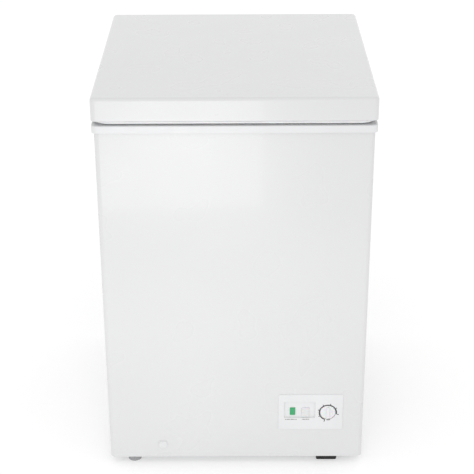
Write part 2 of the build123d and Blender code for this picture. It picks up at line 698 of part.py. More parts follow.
with BuildPart() as control_panel_bezel:
    with BuildSketch(facing_front(CAB_FRONT)):
        with Locations((PANEL_X, PANEL_Z)):
            RectangleRounded(PANEL_RIGHT - PANEL_LEFT, PANEL_HIGH - PANEL_LOW, 4)
    extrude(amount=CAB_FRONT - PANEL_FRONT)
    fillet(control_panel_bezel.faces().sort_by(Axis.Y)[0].edges(), 1.1)
    # skirt that snaps into the window of the cabinet front
    with BuildSketch(facing_front(CAB_FRONT + 10)):
        with Locations((PANEL_X, PANEL_Z)):
            RectangleRounded(PANEL_RIGHT - PANEL_LEFT - 4.4, PANEL_HIGH - PANEL_LOW - 4.4, 2.8)
            RectangleRounded(
                PANEL_RIGHT - PANEL_LEFT - 8, PANEL_HIGH - PANEL_LOW - 8, 1, mode=Mode.SUBTRACT
            )
    extrude(amount=10)
    # pocket for the lamps and dish for the knob
    with BuildSketch(facing_front(POCKET_FLOOR_Y + 1.5)):
        with Locations((middle(*POCKET_X), middle(*POCKET_Z))):
            RectangleRounded(
                POCKET_X[1] - POCKET_X[0] + 3, POCKET_Z[1] - POCKET_Z[0] + 3, 3.5
            )
    extrude(amount=POCKET_FLOOR_Y + 1.5 - CAB_FRONT)
    with BuildSketch(facing_front(DISH_FLOOR_Y + 1.5)):
        with Locations((KNOB_X, KNOB_Z)):
            Circle(DISH_R + 1.5)
    extrude(amount=DISH_FLOOR_Y + 1.5 - CAB_FRONT)
    with BuildSketch(facing_front(POCKET_FLOOR_Y)):
        with Locations((middle(*POCKET_X), middle(*POCKET_Z))):
            RectangleRounded(POCKET_X[1] - POCKET_X[0], POCKET_Z[1] - POCKET_Z[0], 2)
    extrude(amount=POCKET_FLOOR_Y - PANEL_FRONT, mode=Mode.SUBTRACT)
    with BuildSketch(facing_front(DISH_FLOOR_Y)):
        with Locations((KNOB_X, KNOB_Z)):
            Circle(DISH_R)
    extrude(amount=DISH_FLOOR_Y - PANEL_FRONT, mode=Mode.SUBTRACT)
    with BuildSketch(facing_front(DISH_FLOOR_Y + 1.5)):
        with Locations((KNOB_X, KNOB_Z)):
            Circle(SPINDLE_R + 0.6)
    extrude(amount=1.5, mode=Mode.SUBTRACT)
    with BuildSketch(facing_front(POCKET_FLOOR_Y + 1.5)):
        for lens in LENSES.values():
            with Locations((middle(*lens["x"]), middle(*lens["z"]))):
                RectangleRounded(
                    lens["x"][1] - lens["x"][0] + 2 * FIT, lens["z"][1] - lens["z"][0] + 2 * FIT, 1.3
                )
    extrude(amount=1.5, mode=Mode.SUBTRACT)
control_panel_bezel.part.label = "control_panel_bezel"
export_step(control_panel_bezel.part, "parts/control_panel_bezel.step")

LENS_BACK_Y = POCKET_FLOOR_Y + 3.0
for use, lens in LENSES.items():
    width, height = lens["x"][1] - lens["x"][0], lens["z"][1] - lens["z"][0]
    spot = (middle(*lens["x"]), middle(*lens["z"]))
    with BuildPart() as lamp_lens:
        with BuildSketch(facing_front(LENS_BACK_Y)):
            with Locations(spot):
                RectangleRounded(width, height, 1.2)
        extrude(amount=LENS_BACK_Y - POCKET_FLOOR_Y + 1.6)
        fillet(lamp_lens.faces().sort_by(Axis.Y)[0].edges(), 0.8)
        # shoulder behind the pocket floor
        with BuildSketch(facing_front(LENS_BACK_Y)):
            with Locations(spot):
                RectangleRounded(width + 3, height + 3, 1.2)
        extrude(amount=1.4)
    lamp_lens.part.label = f"{use}_lamp_lens"
    export_step(lamp_lens.part, f"parts/{use}_lamp_lens.step")

HOLDER_FRONT_Y = LENS_BACK_Y + FIT
HOLDER_DEPTH = 20.0
HOLDER_TOP_Z, HOLDER_LOW_Z = 145.0, 117.0
with BuildPart() as lamp_holders:
    for lens in LENSES.values():
        with BuildSketch(facing_front(HOLDER_FRONT_Y + HOLDER_DEPTH)):
            with Locations((middle(*lens["x"]), middle(HOLDER_LOW_Z, HOLDER_TOP_Z))):
                RectangleRounded(16, HOLDER_TOP_Z - HOLDER_LOW_Z, 2)
        extrude(amount=HOLDER_DEPTH)
        # two spade terminals at the back
        with BuildSketch(facing_front(HOLDER_FRONT_Y + HOLDER_DEPTH + 8)):
            for dz in (-7, 7):
                with Locations((middle(*lens["x"]), middle(HOLDER_LOW_Z, HOLDER_TOP_Z) + dz)):
                    Rectangle(6.3, 0.8)
        extrude(amount=8)
lamp_holders.part.label = "lamp_holders"
export_step(lamp_holders.part, "parts/lamp_holders.step")

STAT_FRONT_Y = DISH_FLOOR_Y + 1.5
STAT_BACK_Y = STAT_FRONT_Y + 30.0
STAT_HALF_X, STAT_HALF_Z = 18.0, 15.0
with BuildPart() as thermostat_body:
    with BuildSketch(facing_front(STAT_BACK_Y)):
        with Locations((KNOB_X, KNOB_Z)):
            RectangleRounded(2 * STAT_HALF_X, 2 * STAT_HALF_Z, 2.5)
    extrude(amount=STAT_BACK_Y - STAT_FRONT_Y)
    with BuildSketch(facing_front(STAT_FRONT_Y + 22)):
        with Locations((KNOB_X, KNOB_Z)):
            Circle(SPINDLE_R + 0.06)
    extrude(amount=22, mode=Mode.SUBTRACT)
    # three spade terminals
    with BuildSketch(facing_front(STAT_BACK_Y + 8)):
        for dx in (-10, 0, 10):
            with Locations((KNOB_X + dx, KNOB_Z - 6)):
                Rectangle(6.3, 0.8)
    extrude(amount=8)
thermostat_body.part.label = "thermostat_body"
export_step(thermostat_body.part, "parts/thermostat_body.step")

KNOB_BACK_Y = DISH_FLOOR_Y - 0.5
KNOB_FACE_Y = PANEL_FRONT - 0.4
GRIP_FRONT_Y = LID_FRONT + 0.4
with BuildPart() as thermostat_spindle:
    with BuildSketch(facing_front(STAT_FRONT_Y + 21)):
        with Locations((KNOB_X, KNOB_Z)):
            Circle(SPINDLE_R)
    extrude(amount=STAT_FRONT_Y + 21 - KNOB_BACK_Y)
    # flat-sided end inside the knob
    with BuildSketch(facing_front(KNOB_BACK_Y)):
        with Locations((KNOB_X, KNOB_Z)):
            Circle(SPINDLE_R)
            with Locations((0, 3.5)):
                Rectangle(8, 3, mode=Mode.SUBTRACT)
    extrude(amount=4.5)
thermostat_spindle.part.label = "thermostat_spindle"
export_step(thermostat_spindle.part, "parts/thermostat_spindle.step")

with BuildPart() as thermostat_knob:
    with BuildSketch(facing_front(KNOB_BACK_Y)):
        with Locations((KNOB_X, KNOB_Z)):
            Circle(KNOB_R)
    extrude(amount=KNOB_BACK_Y - KNOB_FACE_Y)
    fillet(thermostat_knob.faces().sort_by(Axis.Y)[0].edges(), 1.2)
    # grip bar across the face, with a pointed upper end
    with BuildSketch(facing_front(KNOB_FACE_Y + 1)):
        with BuildLine():
            bar, reach = 3.4, KNOB_R - 1.6
            Polyline(
                (KNOB_X - bar, KNOB_Z - reach + 1.5),
                (KNOB_X + bar, KNOB_Z - reach + 1.5),
                (KNOB_X + bar, KNOB_Z + reach - 4),
                (KNOB_X, KNOB_Z + reach),
                (KNOB_X - bar, KNOB_Z + reach - 4),
                close=True,
            )
        make_face()
    extrude(amount=KNOB_FACE_Y + 1 - GRIP_FRONT_Y)
    fillet(thermostat_knob.faces().sort_by(Axis.Y)[0].edges(), 0.8)
    with BuildSketch(facing_front(KNOB_BACK_Y)):
        with Locations((KNOB_X, KNOB_Z)):
            Circle(SPINDLE_R + 0.02)
            with Locations((0, 3.54)):
                Rectangle(8, 3, mode=Mode.SUBTRACT)
    extrude(amount=4.6, mode=Mode.SUBTRACT)
thermostat_knob.part.label = "thermostat_knob"
export_step(thermostat_knob.part, "parts/thermostat_knob.step")

BULB_R = 3.0
BULB_Z = STEP_Z - LINER_WALL - BULB_R - FIT
with BuildPart() as thermostat_sensor:
    sensor_points = [
        (KNOB_X - 6, STAT_BACK_Y, KNOB_Z + 9),
        (KNOB_X - 6, STAT_BACK_Y + 20, KNOB_Z + 9),
        (SENSOR_PASS[0], STAT_BACK_Y + 34, KNOB_Z + 30),
        (SENSOR_PASS[0], SENSOR_PASS[1], KNOB_Z + 60),
        (SENSOR_PASS[0], SENSOR_PASS[1], BULB_Z),
        (SENSOR_PASS[0] + 18, SENSOR_PASS[1], BULB_Z),
    ]
    add(tube(sensor_points, 8, 1.1, 0))
    # sensing bulb, laid under the floor of the step
    with BuildSketch(facing_right(SENSOR_PASS[0] + 16)):
        with Locations((SENSOR_PASS[1], BULB_Z)):
            Circle(BULB_R)
    extrude(amount=75)
thermostat_sensor.part.label = "thermostat_sensor"
export_step(thermostat_sensor.part, "parts/thermostat_sensor.step")

TERMINAL_X = (89.2, 112.0)
TERMINAL_Y = (205.0, 243.0)
TERMINAL_Z = (46.0, 84.0)
with BuildPart() as terminal_block:
    with BuildSketch(level(TERMINAL_Z[0])):
        with Locations((middle(*TERMINAL_X), middle(*TERMINAL_Y))):
            RectangleRounded(TERMINAL_X[1] - TERMINAL_X[0], TERMINAL_Y[1] - TERMINAL_Y[0], 2)
    extrude(amount=TERMINAL_Z[1] - TERMINAL_Z[0])
    # clamp screws sunk in the face
    with BuildSketch(facing_right(TERMINAL_X[1] - 3)):
        for y in (212, 224, 236):
            with Locations((y, 74)):
                Circle(2.6)
    extrude(amount=4, mode=Mode.SUBTRACT)
terminal_block.part.label = "terminal_block"
export_step(terminal_block.part, "parts/terminal_block.step")

GLAND_X, GLAND_Z = 130.0, 60.0
GLAND_BORE_R = 3.8
GLAND_BODY_R = 7.0
COVER_OUT_Y = CAB_BACK
COVER_IN_Y = CAB_BACK - SHEET
with BuildPart() as cord_inlet_gland:
    with BuildSketch(Plane((GLAND_X, 0, GLAND_Z), x_dir=(1, 0, 0), z_dir=(0, 0, 1))):
        with BuildLine():
            Polyline(
                (GLAND_BORE_R, COVER_IN_Y - 3),
                (8.6, COVER_IN_Y - 3),
                (8.6, COVER_IN_Y),
                (GLAND_BODY_R, COVER_IN_Y),
                (GLAND_BODY_R, COVER_OUT_Y),
                (9.5, COVER_OUT_Y),
                (9.5, COVER_OUT_Y + 2),
                (6.5, COVER_OUT_Y + 9),
                (GLAND_BORE_R, COVER_OUT_Y + 9),
                close=True,
            )
        make_face()
    revolve(axis=Axis((GLAND_X, 0, GLAND_Z), (0, 1, 0)))
cord_inlet_gland.part.label = "cord_inlet_gland"
export_step(cord_inlet_gland.part, "parts/cord_inlet_gland.step")

WIRE_R = 2.3
LAMP_WIRE_Y = HOLDER_FRONT_Y + 12.0
HARNESS = [
    # from the gland to the terminal block
    ([(GLAND_X, COVER_IN_Y - 1, GLAND_Z), (GLAND_X, 230, GLAND_Z), (TERMINAL_X[1], 230, GLAND_Z)], 12),
    # along the bay to the thermostat
    (
        [
            (102, TERMINAL_Y[0], 60),
            (102, STAT_BACK_Y - 9, 60),
            (KNOB_X, STAT_BACK_Y - 9, 60),
            (KNOB_X, STAT_BACK_Y - 9, KNOB_Z - STAT_HALF_Z),
        ],
        26,
    ),
    # to the starting relay
    ([(107.5, TERMINAL_Y[0], 76), (107.5, 40, 76), (COMP_X - 28, 40, 76)], 26),
    # from the thermostat to the lamps
    (
        [
            (KNOB_X - STAT_HALF_X, LAMP_WIRE_Y, 124),
            (169, LAMP_WIRE_Y, 124),
            (169, LAMP_WIRE_Y, 136),
            (middle(*LENSES["run"]["x"]) + 8, LAMP_WIRE_Y, 136),
        ],
        4,
    ),
    (
        [
            (middle(*LENSES["run"]["x"]) - 8, LAMP_WIRE_Y, 128),
            (136, LAMP_WIRE_Y, 128),
            (136, LAMP_WIRE_Y, 134),
            (middle(*LENSES["power"]["x"]) + 8, LAMP_WIRE_Y, 134),
        ],
        2.6,
    ),
]
with BuildPart() as wiring_harness:
    for points, radius in HARNESS:
        add(tube(points, radius, WIRE_R, 0))
wiring_harness.part.label = "wiring_harness"
export_step(wiring_harness.part, "parts/wiring_harness.step")

# ---- rear cover of the bay -------------------------------------------------------------
with BuildPart() as rear_cover:
    with BuildSketch(facing_front(COVER_OUT_Y)):
        with Locations((middle(*BAY_COVER_X), middle(*BAY_COVER_Z))):
            RectangleRounded(
                BAY_COVER_X[1] - BAY_COVER_X[0], BAY_COVER_Z[1] - BAY_COVER_Z[0], 3
            )
        with Locations((GLAND_X, GLAND_Z)):
            Circle(GLAND_BODY_R + FIT, mode=Mode.SUBTRACT)
        with Locations(*COVER_SCREWS):
            Circle(SCREW_R + FIT, mode=Mode.SUBTRACT)
        # air slots in two columns
        for x in (146.0, 212.0):
            for z in range(96, 250, 12):
                with Locations((x, z)):
                    SlotOverall(52, 5, mode=Mode.SUBTRACT)
        for z in (52, 64, 76):
            with Locations((206, z)):
                SlotOverall(64, 5, mode=Mode.SUBTRACT)
    extrude(amount=SHEET)
rear_cover.part.label = "rear_cover"
export_step(rear_cover.part, "parts/rear_cover.step")


def pan_head_screws(spots, seat_y, reach):
    """Screws seen from behind: heads on the plane seat_y and shanks running to the front."""
    with BuildPart() as screws:
        with BuildSketch(facing_front(seat_y)):
            with Locations(*spots):
                Circle(SCREW_R)
        extrude(amount=reach)
        with BuildSketch(facing_front(seat_y + 2.2)):
            with Locations(*spots):
                Circle(4)
        extrude(amount=2.2)
        # cross recess
        with BuildSketch(facing_front(seat_y + 2.2)):
            with Locations(*spots):
                Rectangle(4.6, 0.9)
                Rectangle(0.9, 4.6)
        extrude(amount=1.2, mode=Mode.SUBTRACT)
    return screws.part


with BuildPart() as rear_cover_screws:
    add(pan_head_screws(COVER_SCREWS, COVER_OUT_Y, 10))
rear_cover_screws.part.label = "rear_cover_screws"
export_step(rear_cover_screws.part, "parts/rear_cover_screws.step")

# =====================================================================================
# Hinges
# =====================================================================================
BASE_PLATE_Z = (698.0, 770.0)
BASE_PLATE_THICK = 2.0
EYE_R = 12.0
LEAF_EYE_R = 5.6
LEAF_PLATE_Z = (806.0, 844.0)
LEAF_THICK = 2.0
LEAF_INSET = EAR + 0.5  # lid ears run inside the base ears
TRIM_REAR = CAB_BACK + 3.0


def ear_spots(centre, inset):
    """Left-hand faces of a hinge's two ears."""
    return (centre - HINGE_HALF + inset, centre + HINGE_HALF - inset - EAR)


for hand, hinge_x in HINGE_XS.items():
    with BuildPart() as hinge_base:
        with BuildSketch(facing_front(IN_BACK + BASE_PLATE_THICK)):
            with Locations((hinge_x, middle(*BASE_PLATE_Z))):
                RectangleRounded(2 * HINGE_HALF, BASE_PLATE_Z[1] - BASE_PLATE_Z[0], 3)
                for dx in (-SCREW_DX, SCREW_DX):
                    for z in BASE_SCREWS_Z:
                        with Locations((dx, z - middle(*BASE_PLATE_Z))):
                            Circle(SCREW_R + FIT, mode=Mode.SUBTRACT)
        extrude(amount=BASE_PLATE_THICK)
        for left_face in ear_spots(hinge_x, 0):
            with BuildSketch(facing_right(left_face)):
                with BuildLine():
                    Polyline(
                        (IN_BACK, BASE_PLATE_Z[0] + 6),
                        (IN_BACK + 8, BASE_PLATE_Z[0] + 20),
                        (HINGE_Y + EYE_R, HINGE_Z - 14),
                        (HINGE_Y + EYE_R, HINGE_Z),
                        (HINGE_Y, HINGE_Z),
                        (IN_BACK, HINGE_Z - 6),
                        close=True,
                    )
                make_face()
                with Locations((HINGE_Y, HINGE_Z)):
                    Circle(EYE_R)
                # room for the frame round the cabinet's mouth
                with Locations((TRIM_REAR + 0.5 - 20, TRIM_BOTTOM_Z - 1.5 + 20)):
                    Rectangle(40, 40, mode=Mode.SUBTRACT)
                with Locations((IN_BACK - 20, HINGE_Z)):
                    Rectangle(40, 100, mode=Mode.SUBTRACT)
                with Locations((HINGE_Y, HINGE_Z)):
                    Circle(PIN_R + 0.02, mode=Mode.SUBTRACT)
            extrude(amount=EAR)
    hinge_base.part.label = f"hinge_base_{hand}"
    export_step(hinge_base.part, f"parts/hinge_base_{hand}.step")

    with BuildPart() as hinge_leaf:
        with BuildSketch(facing_front(LID_BACK + LEAF_THICK)):
            with Locations((hinge_x, middle(*LEAF_PLATE_Z))):
                RectangleRounded(2 * HINGE_HALF, LEAF_PLATE_Z[1] - LEAF_PLATE_Z[0], 3)
                for dx in (-SCREW_DX, SCREW_DX):
                    for z in LEAF_SCREWS_Z:
                        with Locations((dx, z - middle(*LEAF_PLATE_Z))):
                            Circle(SCREW_R + FIT, mode=Mode.SUBTRACT)
        extrude(amount=LEAF_THICK)
        for left_face in ear_spots(hinge_x, LEAF_INSET):
            with BuildSketch(facing_right(left_face)):
                with BuildLine():
                    Polyline(
                        (HINGE_Y - 4.2, HINGE_Z + 4),
                        (LID_BACK - 1.5, LID_BOTTOM_Z - 1),
                        (LID_BACK, LID_BOTTOM_Z - 1),
                        (LID_BACK, LEAF_PLATE_Z[1] - 5),
                        (LID_BACK + LEAF_THICK, LEAF_PLATE_Z[1] - 5),
                        (HINGE_Y + 7, LEAF_PLATE_Z[0]),
                        (HINGE_Y + LEAF_EYE_R, HINGE_Z),
                        (HINGE_Y, HINGE_Z),
                        close=True,
                    )
                make_face()
                with Locations((HINGE_Y, HINGE_Z)):
                    Circle(LEAF_EYE_R)
                    Circle(PIN_R + 0.06, mode=Mode.SUBTRACT)
            extrude(amount=EAR)
        # bar that the spring pushes on
        with BuildSketch(facing_right(hinge_x - HINGE_HALF + LEAF_INSET)):
            with Locations((HINGE_Y - 0.4, HINGE_Z + 17)):
                Rectangle(6, 5)
        extrude(amount=2 * (HINGE_HALF - LEAF_INSET))
    hinge_leaf.part.label = f"hinge_leaf_{hand}"
    export_step(hinge_leaf.part, f"parts/hinge_leaf_{hand}.step")

    with BuildPart() as hinge_pin:
        with BuildSketch(facing_right(hinge_x - HINGE_HALF - 2)):
            with Locations((HINGE_Y, HINGE_Z)):
                Circle(PIN_R)
        extrude(amount=2 * HINGE_HALF + 4)
        for start in (hinge_x - HINGE_HALF - 3, hinge_x + HINGE_HALF + 0.1):
            with BuildSketch(facing_right(start)):
                with Locations((HINGE_Y, HINGE_Z)):
                    Circle(4.5)
            extrude(amount=2.9)
    hinge_pin.part.label = f"hinge_pin_{hand}"
    export_step(hinge_pin.part, f"parts/hinge_pin_{hand}.step")

SPRING_HALF = 16.0
SPRING_R = 4.4
SPRING_WIRE_R = 0.9
SPRING_TURNS = 10
SPRING_PITCH = 2 * SPRING_HALF / SPRING_TURNS
for hand, hinge_x in HINGE_XS.items():
    start_x, end_x = hinge_x - SPRING_HALF, hinge_x + SPRING_HALF
    coil = Helix(
        SPRING_PITCH,
        2 * SPRING_HALF,
        SPRING_R,
        center=(start_x, HINGE_Y, HINGE_Z),
        direction=(1, 0, 0),
    )
    # drawn with the ends of the wire at the top of the coil, then turned to face the front
    with BuildPart() as flat_spring:
        with BuildSketch(Plane(coil @ 0, z_dir=coil % 0)):
            Circle(SPRING_WIRE_R)
        sweep(path=coil, is_frenet=True)
        with BuildSketch(facing_front(HINGE_Y - 0.5)):
            with Locations((start_x, HINGE_Z + SPRING_R)):
                Circle(SPRING_WIRE_R)
        extrude(amount=-20)
        with BuildSketch(facing_front(HINGE_Y + 0.5)):
            with Locations((end_x, HINGE_Z + SPRING_R)):
                Circle(SPRING_WIRE_R)
        extrude(amount=34)
    with BuildPart() as hinge_spring:
        add(flat_spring.part.rotate(Axis((0, HINGE_Y, HINGE_Z), (1, 0, 0)), 90))
    hinge_spring.part.label = f"hinge_spring_{hand}"
    export_step(hinge_spring.part, f"parts/hinge_spring_{hand}.step")

with BuildPart() as hinge_base_screws:
    add(pan_head_screws(BASE_SCREW_SPOTS, IN_BACK + BASE_PLATE_THICK, SCREW_REACH))
hinge_base_screws.part.label = "hinge_base_screws"
export_step(hinge_base_screws.part, "parts/hinge_base_screws.step")

with BuildPart() as hinge_leaf_screws:
    add(pan_head_screws(LEAF_SCREW_SPOTS, LID_BACK + LEAF_THICK, SCREW_REACH))
hinge_leaf_screws.part.label = "hinge_leaf_screws"
export_step(hinge_leaf_screws.part, "parts/hinge_leaf_screws.step")

# =====================================================================================
# Liner, mouth frame, foam
# =====================================================================================
MOUTH_FRONT, MOUTH_BACK = SPACE_FRONT - LEDGE_WIDTH, SPACE_BACK + LEDGE_WIDTH
MOUTH_Y = middle(MOUTH_FRONT, MOUTH_BACK)
MOUTH_DEPTH = MOUTH_BACK - MOUTH_FRONT
LINER_LIP_X = CAB_X - FLANGE - 1.0

with BuildPart() as inner_liner:
    add(liner_outside)
    with BuildSketch(level(FOAM_TOP_Z)):
        cabinet_outline(LINER_LIP_X, CAB_FRONT + FLANGE + 1, CAB_BACK - FLANGE - 1, 4)
    extrude(amount=WRAP_TOP_Z - FOAM_TOP_Z)
    add(liner_inside, mode=Mode.SUBTRACT)
    with BuildSketch(level(WRAP_TOP_Z)):
        Rectangle(700, 700)
    extrude(amount=20, mode=Mode.SUBTRACT)
    with BuildSketch(level(SPACE_FLOOR_Z - LINER_WALL)):
        with Locations((DRAIN_X, DRAIN_Y)):
            Circle(DRAIN_PIPE_R + FIT)
    extrude(amount=LINER_WALL, mode=Mode.SUBTRACT)
inner_liner.part.label = "inner_liner"
export_step(inner_liner.part, "parts/inner_liner.step")

TRIM_LIP = 1.6
with BuildPart() as top_frame_trim:
    with BuildSketch(level(TRIM_BOTTOM_Z)):
        with Locations((0, middle(LID_FRONT, TRIM_REAR))):
            RectangleRounded(LID_WIDTH, TRIM_REAR - LID_FRONT, CORNER_R)
    extrude(amount=TRIM_TOP_Z - TRIM_BOTTOM_Z)
    fillet(top_frame_trim.faces().sort_by(Axis.Z)[-1].edges(), 2)
    # channel that slips down over the cabinet's edge
    with BuildSketch(level(TRIM_BOTTOM_Z)):
        cabinet_outline(CAB_X + FIT, CAB_FRONT - FIT, CAB_BACK + FIT, CORNER_R + FIT)
        with Locations((0, MOUTH_Y)):
            RectangleRounded(
                2 * (SPACE_X - FIT), MOUTH_DEPTH - 2 * FIT, SPACE_CORNER_R, mode=Mode.SUBTRACT
            )
    extrude(amount=WRAP_TOP_Z - TRIM_BOTTOM_Z, mode=Mode.SUBTRACT)
    with BuildSketch(level(TRIM_BOTTOM_Z)):
        with Locations((0, MOUTH_Y)):
            RectangleRounded(
                2 * (SPACE_X - TRIM_LIP), MOUTH_DEPTH - 2 * TRIM_LIP, SPACE_CORNER_R - TRIM_LIP
            )
    extrude(amount=TRIM_TOP_Z - TRIM_BOTTOM_Z, mode=Mode.SUBTRACT)
top_frame_trim.part.label = "top_frame_trim"
export_step(top_frame_trim.part, "parts/top_frame_trim.step")


GROOVE = CONDENSER_R + FIT
BEND = 18.0
COIL_GROOVE = EVAP_R + 0.4
with BuildPart() as foam_insulation:
    with BuildSketch(level(PAN_TOP_Z)):
        cabinet_outline(IN_X - FIT, IN_FRONT + FIT, IN_BACK - SHEET - FIT, CORNER_R - SHEET)
    extrude(amount=FOAM_TOP_Z - PAN_TOP_Z)
    with BuildSketch(level(0)):
        with Locations((BAY_X + 150, 0)):
            Rectangle(300, 700)
    extrude(amount=BAY_TOP_Z, mode=Mode.SUBTRACT)
    add(liner_outside, mode=Mode.SUBTRACT)
    # grooves for the condenser runs, round the front and both sides
    for z in RUN_ZS:
        with BuildSketch(level(z - GROOVE)):
            with Locations((0, middle(-400, CONDENSER_IN_Y + GROOVE))):
                Rectangle(700, CONDENSER_IN_Y + GROOVE + 400)
            with Locations((0, middle(CONDENSER_FRONT + GROOVE, 400))):
                RectangleRounded(
                    2 * (CONDENSER_X - GROOVE),
                    400 - CONDENSER_FRONT - GROOVE,
                    BEND - GROOVE,
                    mode=Mode.SUBTRACT,
                )
        extrude(amount=2 * GROOVE, mode=Mode.SUBTRACT)
    # upright condenser runs: (side, lower level, upper level) at the back of each side
    climbs = [(1, BAY_TOP_Z, RUN_ZS[0])]
    for i in range(1, len(RUN_ZS)):
        climbs.append((-1 if i % 2 else 1, RUN_ZS[i - 1], RUN_ZS[i]))
    for side, low, high in climbs:
        with BuildSketch(level(low - GROOVE)):
            with Locations((side * (CONDENSER_X + 10), CONDENSER_IN_Y - 9)):
                Rectangle(20 + 2 * GROOVE, 18 + 2 * GROOVE)
        extrude(amount=high - low + 2 * GROOVE, mode=Mode.SUBTRACT)
    # return run from the top level down to the bay
    for y_range, z_range in (
        ((180, RETURN_Y + GROOVE), (RUN_ZS[-1] - BEND, RUN_ZS[-1] + GROOVE)),
        ((RETURN_Y - GROOVE, RETURN_Y + GROOVE), (BAY_TOP_Z, RUN_ZS[-1])),
    ):
        with BuildSketch(level(z_range[0])):
            with Locations((RETURN_X + 20 - GROOVE, middle(*y_range))):
                Rectangle(40, y_range[1] - y_range[0])
        extrude(amount=z_range[1] - z_range[0], mode=Mode.SUBTRACT)
    # evaporator turns round the liner and the short drops between them
    for z in EVAP_LEVELS:
        right = evaporator_right(z)
        with BuildSketch(level(z - COIL_GROOVE)):
            with Locations((middle(EVAP_LEFT, right), middle(EVAP_FRONT, EVAP_BACK))):
                Rectangle(
                    right - EVAP_LEFT + 2 * COIL_GROOVE, EVAP_BACK - EVAP_FRONT + 2 * COIL_GROOVE
                )
        extrude(amount=2 * COIL_GROOVE, mode=Mode.SUBTRACT)
    for x, high, low in zip(RISERS[1:], EVAP_LEVELS, EVAP_LEVELS[1:]):
        with BuildSketch(level(low)):
            with Locations((x, EVAP_BACK)):
                Rectangle(19.5, 2 * COIL_GROOVE)
        extrude(amount=high - low, mode=Mode.SUBTRACT)
    # feed from the bay to the top turn, and the way out through the bay wall
    feed_y = EVAP_IN[1]
    for x_range, y_range, z_range in (
        ((EVAP_IN[0] - 18, EVAP_IN[0] + 5), (feed_y - 5, feed_y + 5), (BAY_TOP_Z, FEED_Z + 5)),
        ((RISERS[0] - 5, EVAP_IN[0]), (feed_y - 5, feed_y + 5), (FEED_Z - 5, FEED_Z + 5)),
        (
            (RISERS[0] - 5, RISERS[0] + 18),
            (feed_y - 5, feed_y + 5),
            (FEED_Z, EVAP_LEVELS[0] + 5),
        ),
        (
            (RISERS[0] - 14, RISERS[0] + 5),
            (EVAP_BACK - 5, feed_y + 5),
            (EVAP_LEVELS[0] - 20, EVAP_LEVELS[0] + 5),
        ),
        (
            (RISERS[-1] - 5, BAY_X),
            (EVAP_BACK - 5, feed_y + 5),
            (EVAP_OUT_Z - 5, EVAP_OUT_Z + 5),
        ),
    ):
        with BuildSketch(level(z_range[0])):
            with Locations((middle(*x_range), middle(*y_range))):
                Rectangle(x_range[1] - x_range[0], y_range[1] - y_range[0])
        extrude(amount=z_range[1] - z_range[0], mode=Mode.SUBTRACT)
    # drain, feet, hinge screws and the sensing bulb
    add(tube(drain_points, 18, DRAIN_PIPE_R + FIT, 0), mode=Mode.SUBTRACT)
    for x, y in FOOT_SPOTS.values():
        for radius, depth in ((8.0, NUT_THICK + FIT), (5.0, STEM_TOP_Z + 2 - PAN_TOP_Z)):
            with BuildSketch(level(PAN_TOP_Z)):
                with Locations((x, y)):
                    Circle(radius)
            extrude(amount=depth, mode=Mode.SUBTRACT)
    with BuildSketch(facing_front(IN_BACK)):
        with Locations(*BASE_SCREW_SPOTS):
            Circle(SCREW_R + FIT)
    extrude(amount=SCREW_REACH, mode=Mode.SUBTRACT)
    with BuildSketch(level(BAY_TOP_Z)):
        with Locations((SENSOR_PASS[0] + 40, SENSOR_PASS[1])):
            Rectangle(106, 2 * BULB_R + 2 * FIT)
    extrude(amount=BULB_Z + BULB_R + FIT - BAY_TOP_Z, mode=Mode.SUBTRACT)
foam_insulation.part.label = "foam_insulation"
export_step(foam_insulation.part, "parts/foam_insulation.step")

# =====================================================================================
# Lid
# =====================================================================================
LID_Y = middle(LID_FRONT, LID_BACK)
LID_EDGE_R = 6.0
LID_FLANGE = 8.5
PANEL_PLATE_Z = LID_BOTTOM_Z + SHEET
INNER_WALL = 2.0
BULGE_LOW_Z = 776.0
GASKET_X = 271.0
GASKET_FRONT, GASKET_BACK = LID_FRONT + 9.0, LID_BACK - 12.0
GASKET_WIDTH = 18.0
GASKET_CORNER_R = 24.0
GASKET_LOW_Z = TRIM_TOP_Z + 0.3


def lid_outline(inset):
    """Plan outline of the lid, for use inside a BuildSketch."""
    with Locations((0, LID_Y)):
        RectangleRounded(
            LID_WIDTH - 2 * inset, LID_DEPTH - 2 * inset, max(CORNER_R - inset, 2)
        )


def gasket_outline(inset, width):
    """Ring that follows the gasket, inset from its outer edge, for use inside a BuildSketch."""
    with Locations((0, middle(GASKET_FRONT, GASKET_BACK))):
        for step, mode in ((inset, Mode.ADD), (inset + width, Mode.SUBTRACT)):
            RectangleRounded(
                2 * (GASKET_X - step),
                GASKET_BACK - GASKET_FRONT - 2 * step,
                GASKET_CORNER_R - step,
                mode=mode,
            )


def bulge(grow, low, high):
    """Tapered block that hangs into the cabinet's mouth under the lid."""
    with BuildPart() as block:
        for z, half in ((high, 207.0), (low, 202.0)):
            with BuildSketch(level(z)):
                with Locations((0, MOUTH_Y)):
                    RectangleRounded(
                        2 * (half + grow), 2 * (half + grow) + MOUTH_DEPTH - 2 * SPACE_X, 26 + grow
                    )
        loft()
    return block.part


with BuildPart() as lid_room:
    with BuildSketch(level(LID_BOTTOM_Z + SHEET)):
        lid_outline(SHEET)
    extrude(amount=HEIGHT - LID_BOTTOM_Z - 2 * SHEET)
    fillet(lid_room.faces().sort_by(Axis.Z)[-1].edges(), LID_EDGE_R - SHEET)

